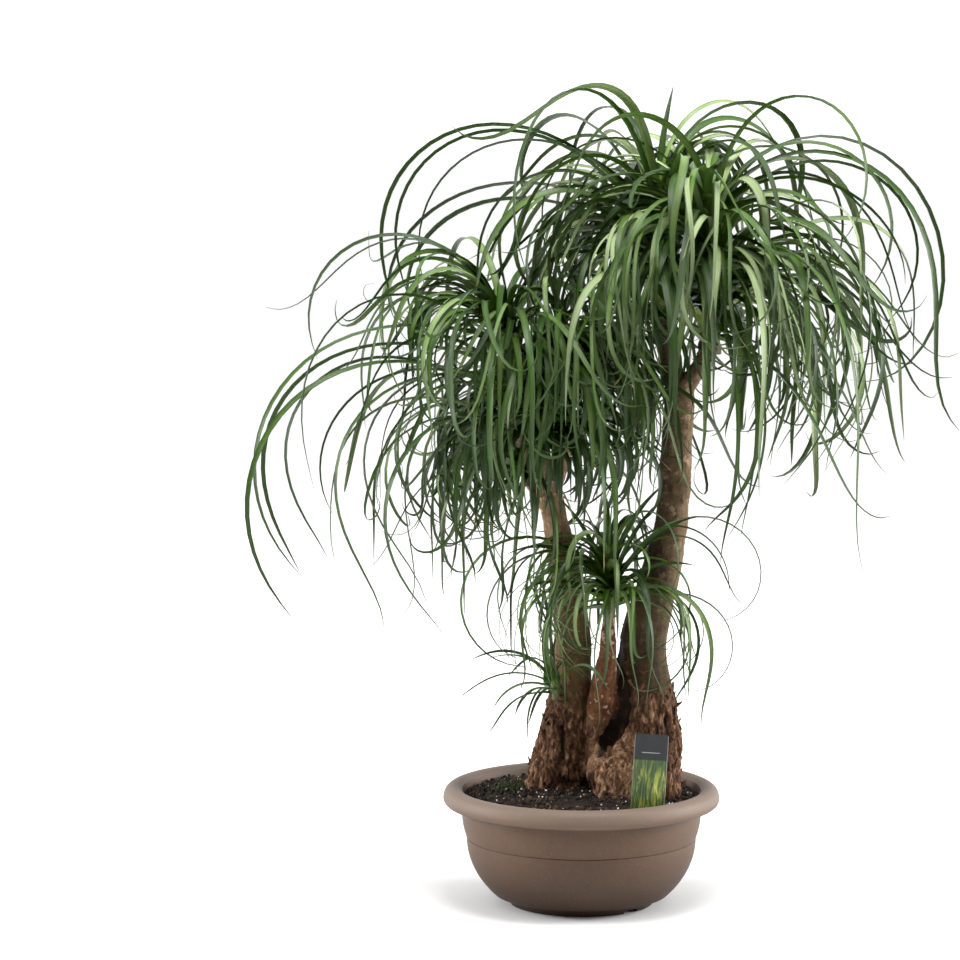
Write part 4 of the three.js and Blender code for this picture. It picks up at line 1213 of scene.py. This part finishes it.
def label_piece(material):
    bm = bmesh.new()
    size = Matrix.Diagonal((CARD_WIDTH, CARD_HEIGHT, 1, 1))
    bmesh.ops.create_grid(bm, x_segments=1, y_segments=1, size=0.5, matrix=size)
    bmesh.ops.translate(bm, verts=bm.verts, vec=(0, CARD_LOW + CARD_HEIGHT / 2, 0))
    corners = [v for v in bm.verts if v.co.y > 0]
    bmesh.ops.bevel(bm, geom=corners, offset=2.5, segments=6, profile=0.5, affect="VERTICES", material=-1)
    low = lowest_edge(bm.edges)
    for drop, width in STAKE:
        made = bmesh.ops.extrude_edge_only(bm, edges=[low])["geom"]
        low = lowest_edge([piece for piece in made if isinstance(piece, bmesh.types.BMEdge)])
        ends = list(low.verts)
        bmesh.ops.scale(bm, vec=(width, 1, 1), verts=ends)
        bmesh.ops.translate(bm, verts=ends, vec=(0, drop, 0))
    bmesh.ops.recalc_face_normals(bm, faces=bm.faces)
    bmesh.ops.solidify(bm, geom=bm.faces[:], thickness=CARD_THICK)
    middle = sum(v.co.z for v in bm.verts) / len(bm.verts)
    bmesh.ops.translate(bm, verts=bm.verts, vec=(0, 0, -middle))
    bmesh.ops.recalc_face_normals(bm, faces=bm.faces)
    brim = [e for e in bm.edges if len(e.link_faces) == 2 and e.calc_face_angle() > 1.2]
    bmesh.ops.bevel(bm, geom=brim, offset=0.2, segments=2, profile=0.5, affect="EDGES", material=-1)
    uv = bm.loops.layers.uv.new("card")
    for face in bm.faces:
        for loop in face.loops:
            loop[uv].uv = (loop.vert.co.x / CARD_WIDTH + 0.5, (loop.vert.co.y - CARD_LOW) / CARD_HEIGHT)
    lean = Matrix.Rotation(math.radians(LABEL_LEAN), 4, "Y")
    turn = lean @ Matrix.Rotation(math.radians(90 - LABEL_BACK), 4, "X")
    place = Matrix.Translation(Vector(LABEL_PLACE) * MM) @ turn @ Matrix.Scale(MM, 4)
    bmesh.ops.transform(bm, matrix=place, verts=bm.verts)
    return finish_piece("plant_label", mesh_from(bm, "plant_label", False), material, ["label"])


# Studio: the camera as fitted to the photo, with its focal length in the photo's pixels, how far the floor
# reaches in metres, and the lamps with their places, widths and watts.
CAMERA_PLACE, CAMERA_TILT = (-0.1102, -3.6, 0.840), 84
SENSOR, FOCAL_PIXELS, PHOTO_WIDTH, FAR = 36, 3358, 960, 200
FLOOR_REACH = 70
LAMPS = (("top", (0.2, -0.8, 3.0), 1.0, 88), ("left", (-2.8, 0.1, 1.0), 1.3, 96),
         ("right", (2.8, 0.2, 1.0), 1.3, 124))
LAMP_AIM = Vector((0, 0, 0.4))


def sky():
    """A soft white room, brightest behind the plant and overhead, and dim behind the camera."""
    world = bpy.data.worlds.new("studio")
    bpy.context.scene.world = world
    paint = Paint(world, "Background", Color=(1, 1, 1, 1))
    _, depth, height = paint.parts("XYZ", paint.add("TexCoord", {}, {}, "Generated"))
    smooth = {"interpolation_type": "SMOOTHSTEP"}
    behind = paint.add("MapRange", smooth, dict(enumerate((depth, -0.7, 0.3, 0.08, 1.25))))
    above = paint.add("MapRange", smooth, dict(enumerate((height, 0.25, 0.8, 0.0, 1.15))))
    paint.done(Strength=behind.maths("MAXIMUM", behind, above))


def studio():
    camera = bpy.data.cameras.new("camera")
    camera.sensor_width = SENSOR
    camera.lens = FOCAL_PIXELS / PHOTO_WIDTH * SENSOR
    camera.clip_end = FAR
    holder = put("camera", camera)
    holder.location = CAMERA_PLACE
    holder.rotation_euler = (math.radians(CAMERA_TILT), 0, 0)
    bpy.context.scene.camera = holder

    bm = bmesh.new()
    bmesh.ops.create_grid(bm, x_segments=8, y_segments=8, size=FLOOR_REACH)
    floor = put("floor", mesh_from(bm, "floor"))
    floor.data.materials.append(floor_paint())
    sky()
    for name, spot, size, power in LAMPS:
        light = bpy.data.lights.new(name, "AREA")
        light.energy = power
        light.size = size
        lamp = put(name, light)
        lamp.location = spot
        lamp.rotation_euler = (LAMP_AIM - Vector(spot)).to_track_quat("-Z", "Y").to_euler()
    bpy.context.scene.view_settings.view_transform = "Standard"


def dress():
    solids = surfaces("trunk", "pot", "soil", "label")
    green = leaf_paint()
    blank = blank_leaf()
    for number in range(len(HEADS)):
        leaf_piece(number, blank, solids, green)
    leaf_stems(core_paint())
    trunk_piece(bark_paint())
    pot_piece(pot_paint())
    soil_piece(soil_paint())
    soil_bits()
    moss = [(0.2, (0.012, 0.020, 0.006)), (0.6, (0.030, 0.048, 0.012)), (0.9, (0.08, 0.11, 0.03))]
    moss_piece(crumb_paint("moss", moss, 0.8))
    label_piece(label_paint())


studio()
dress()
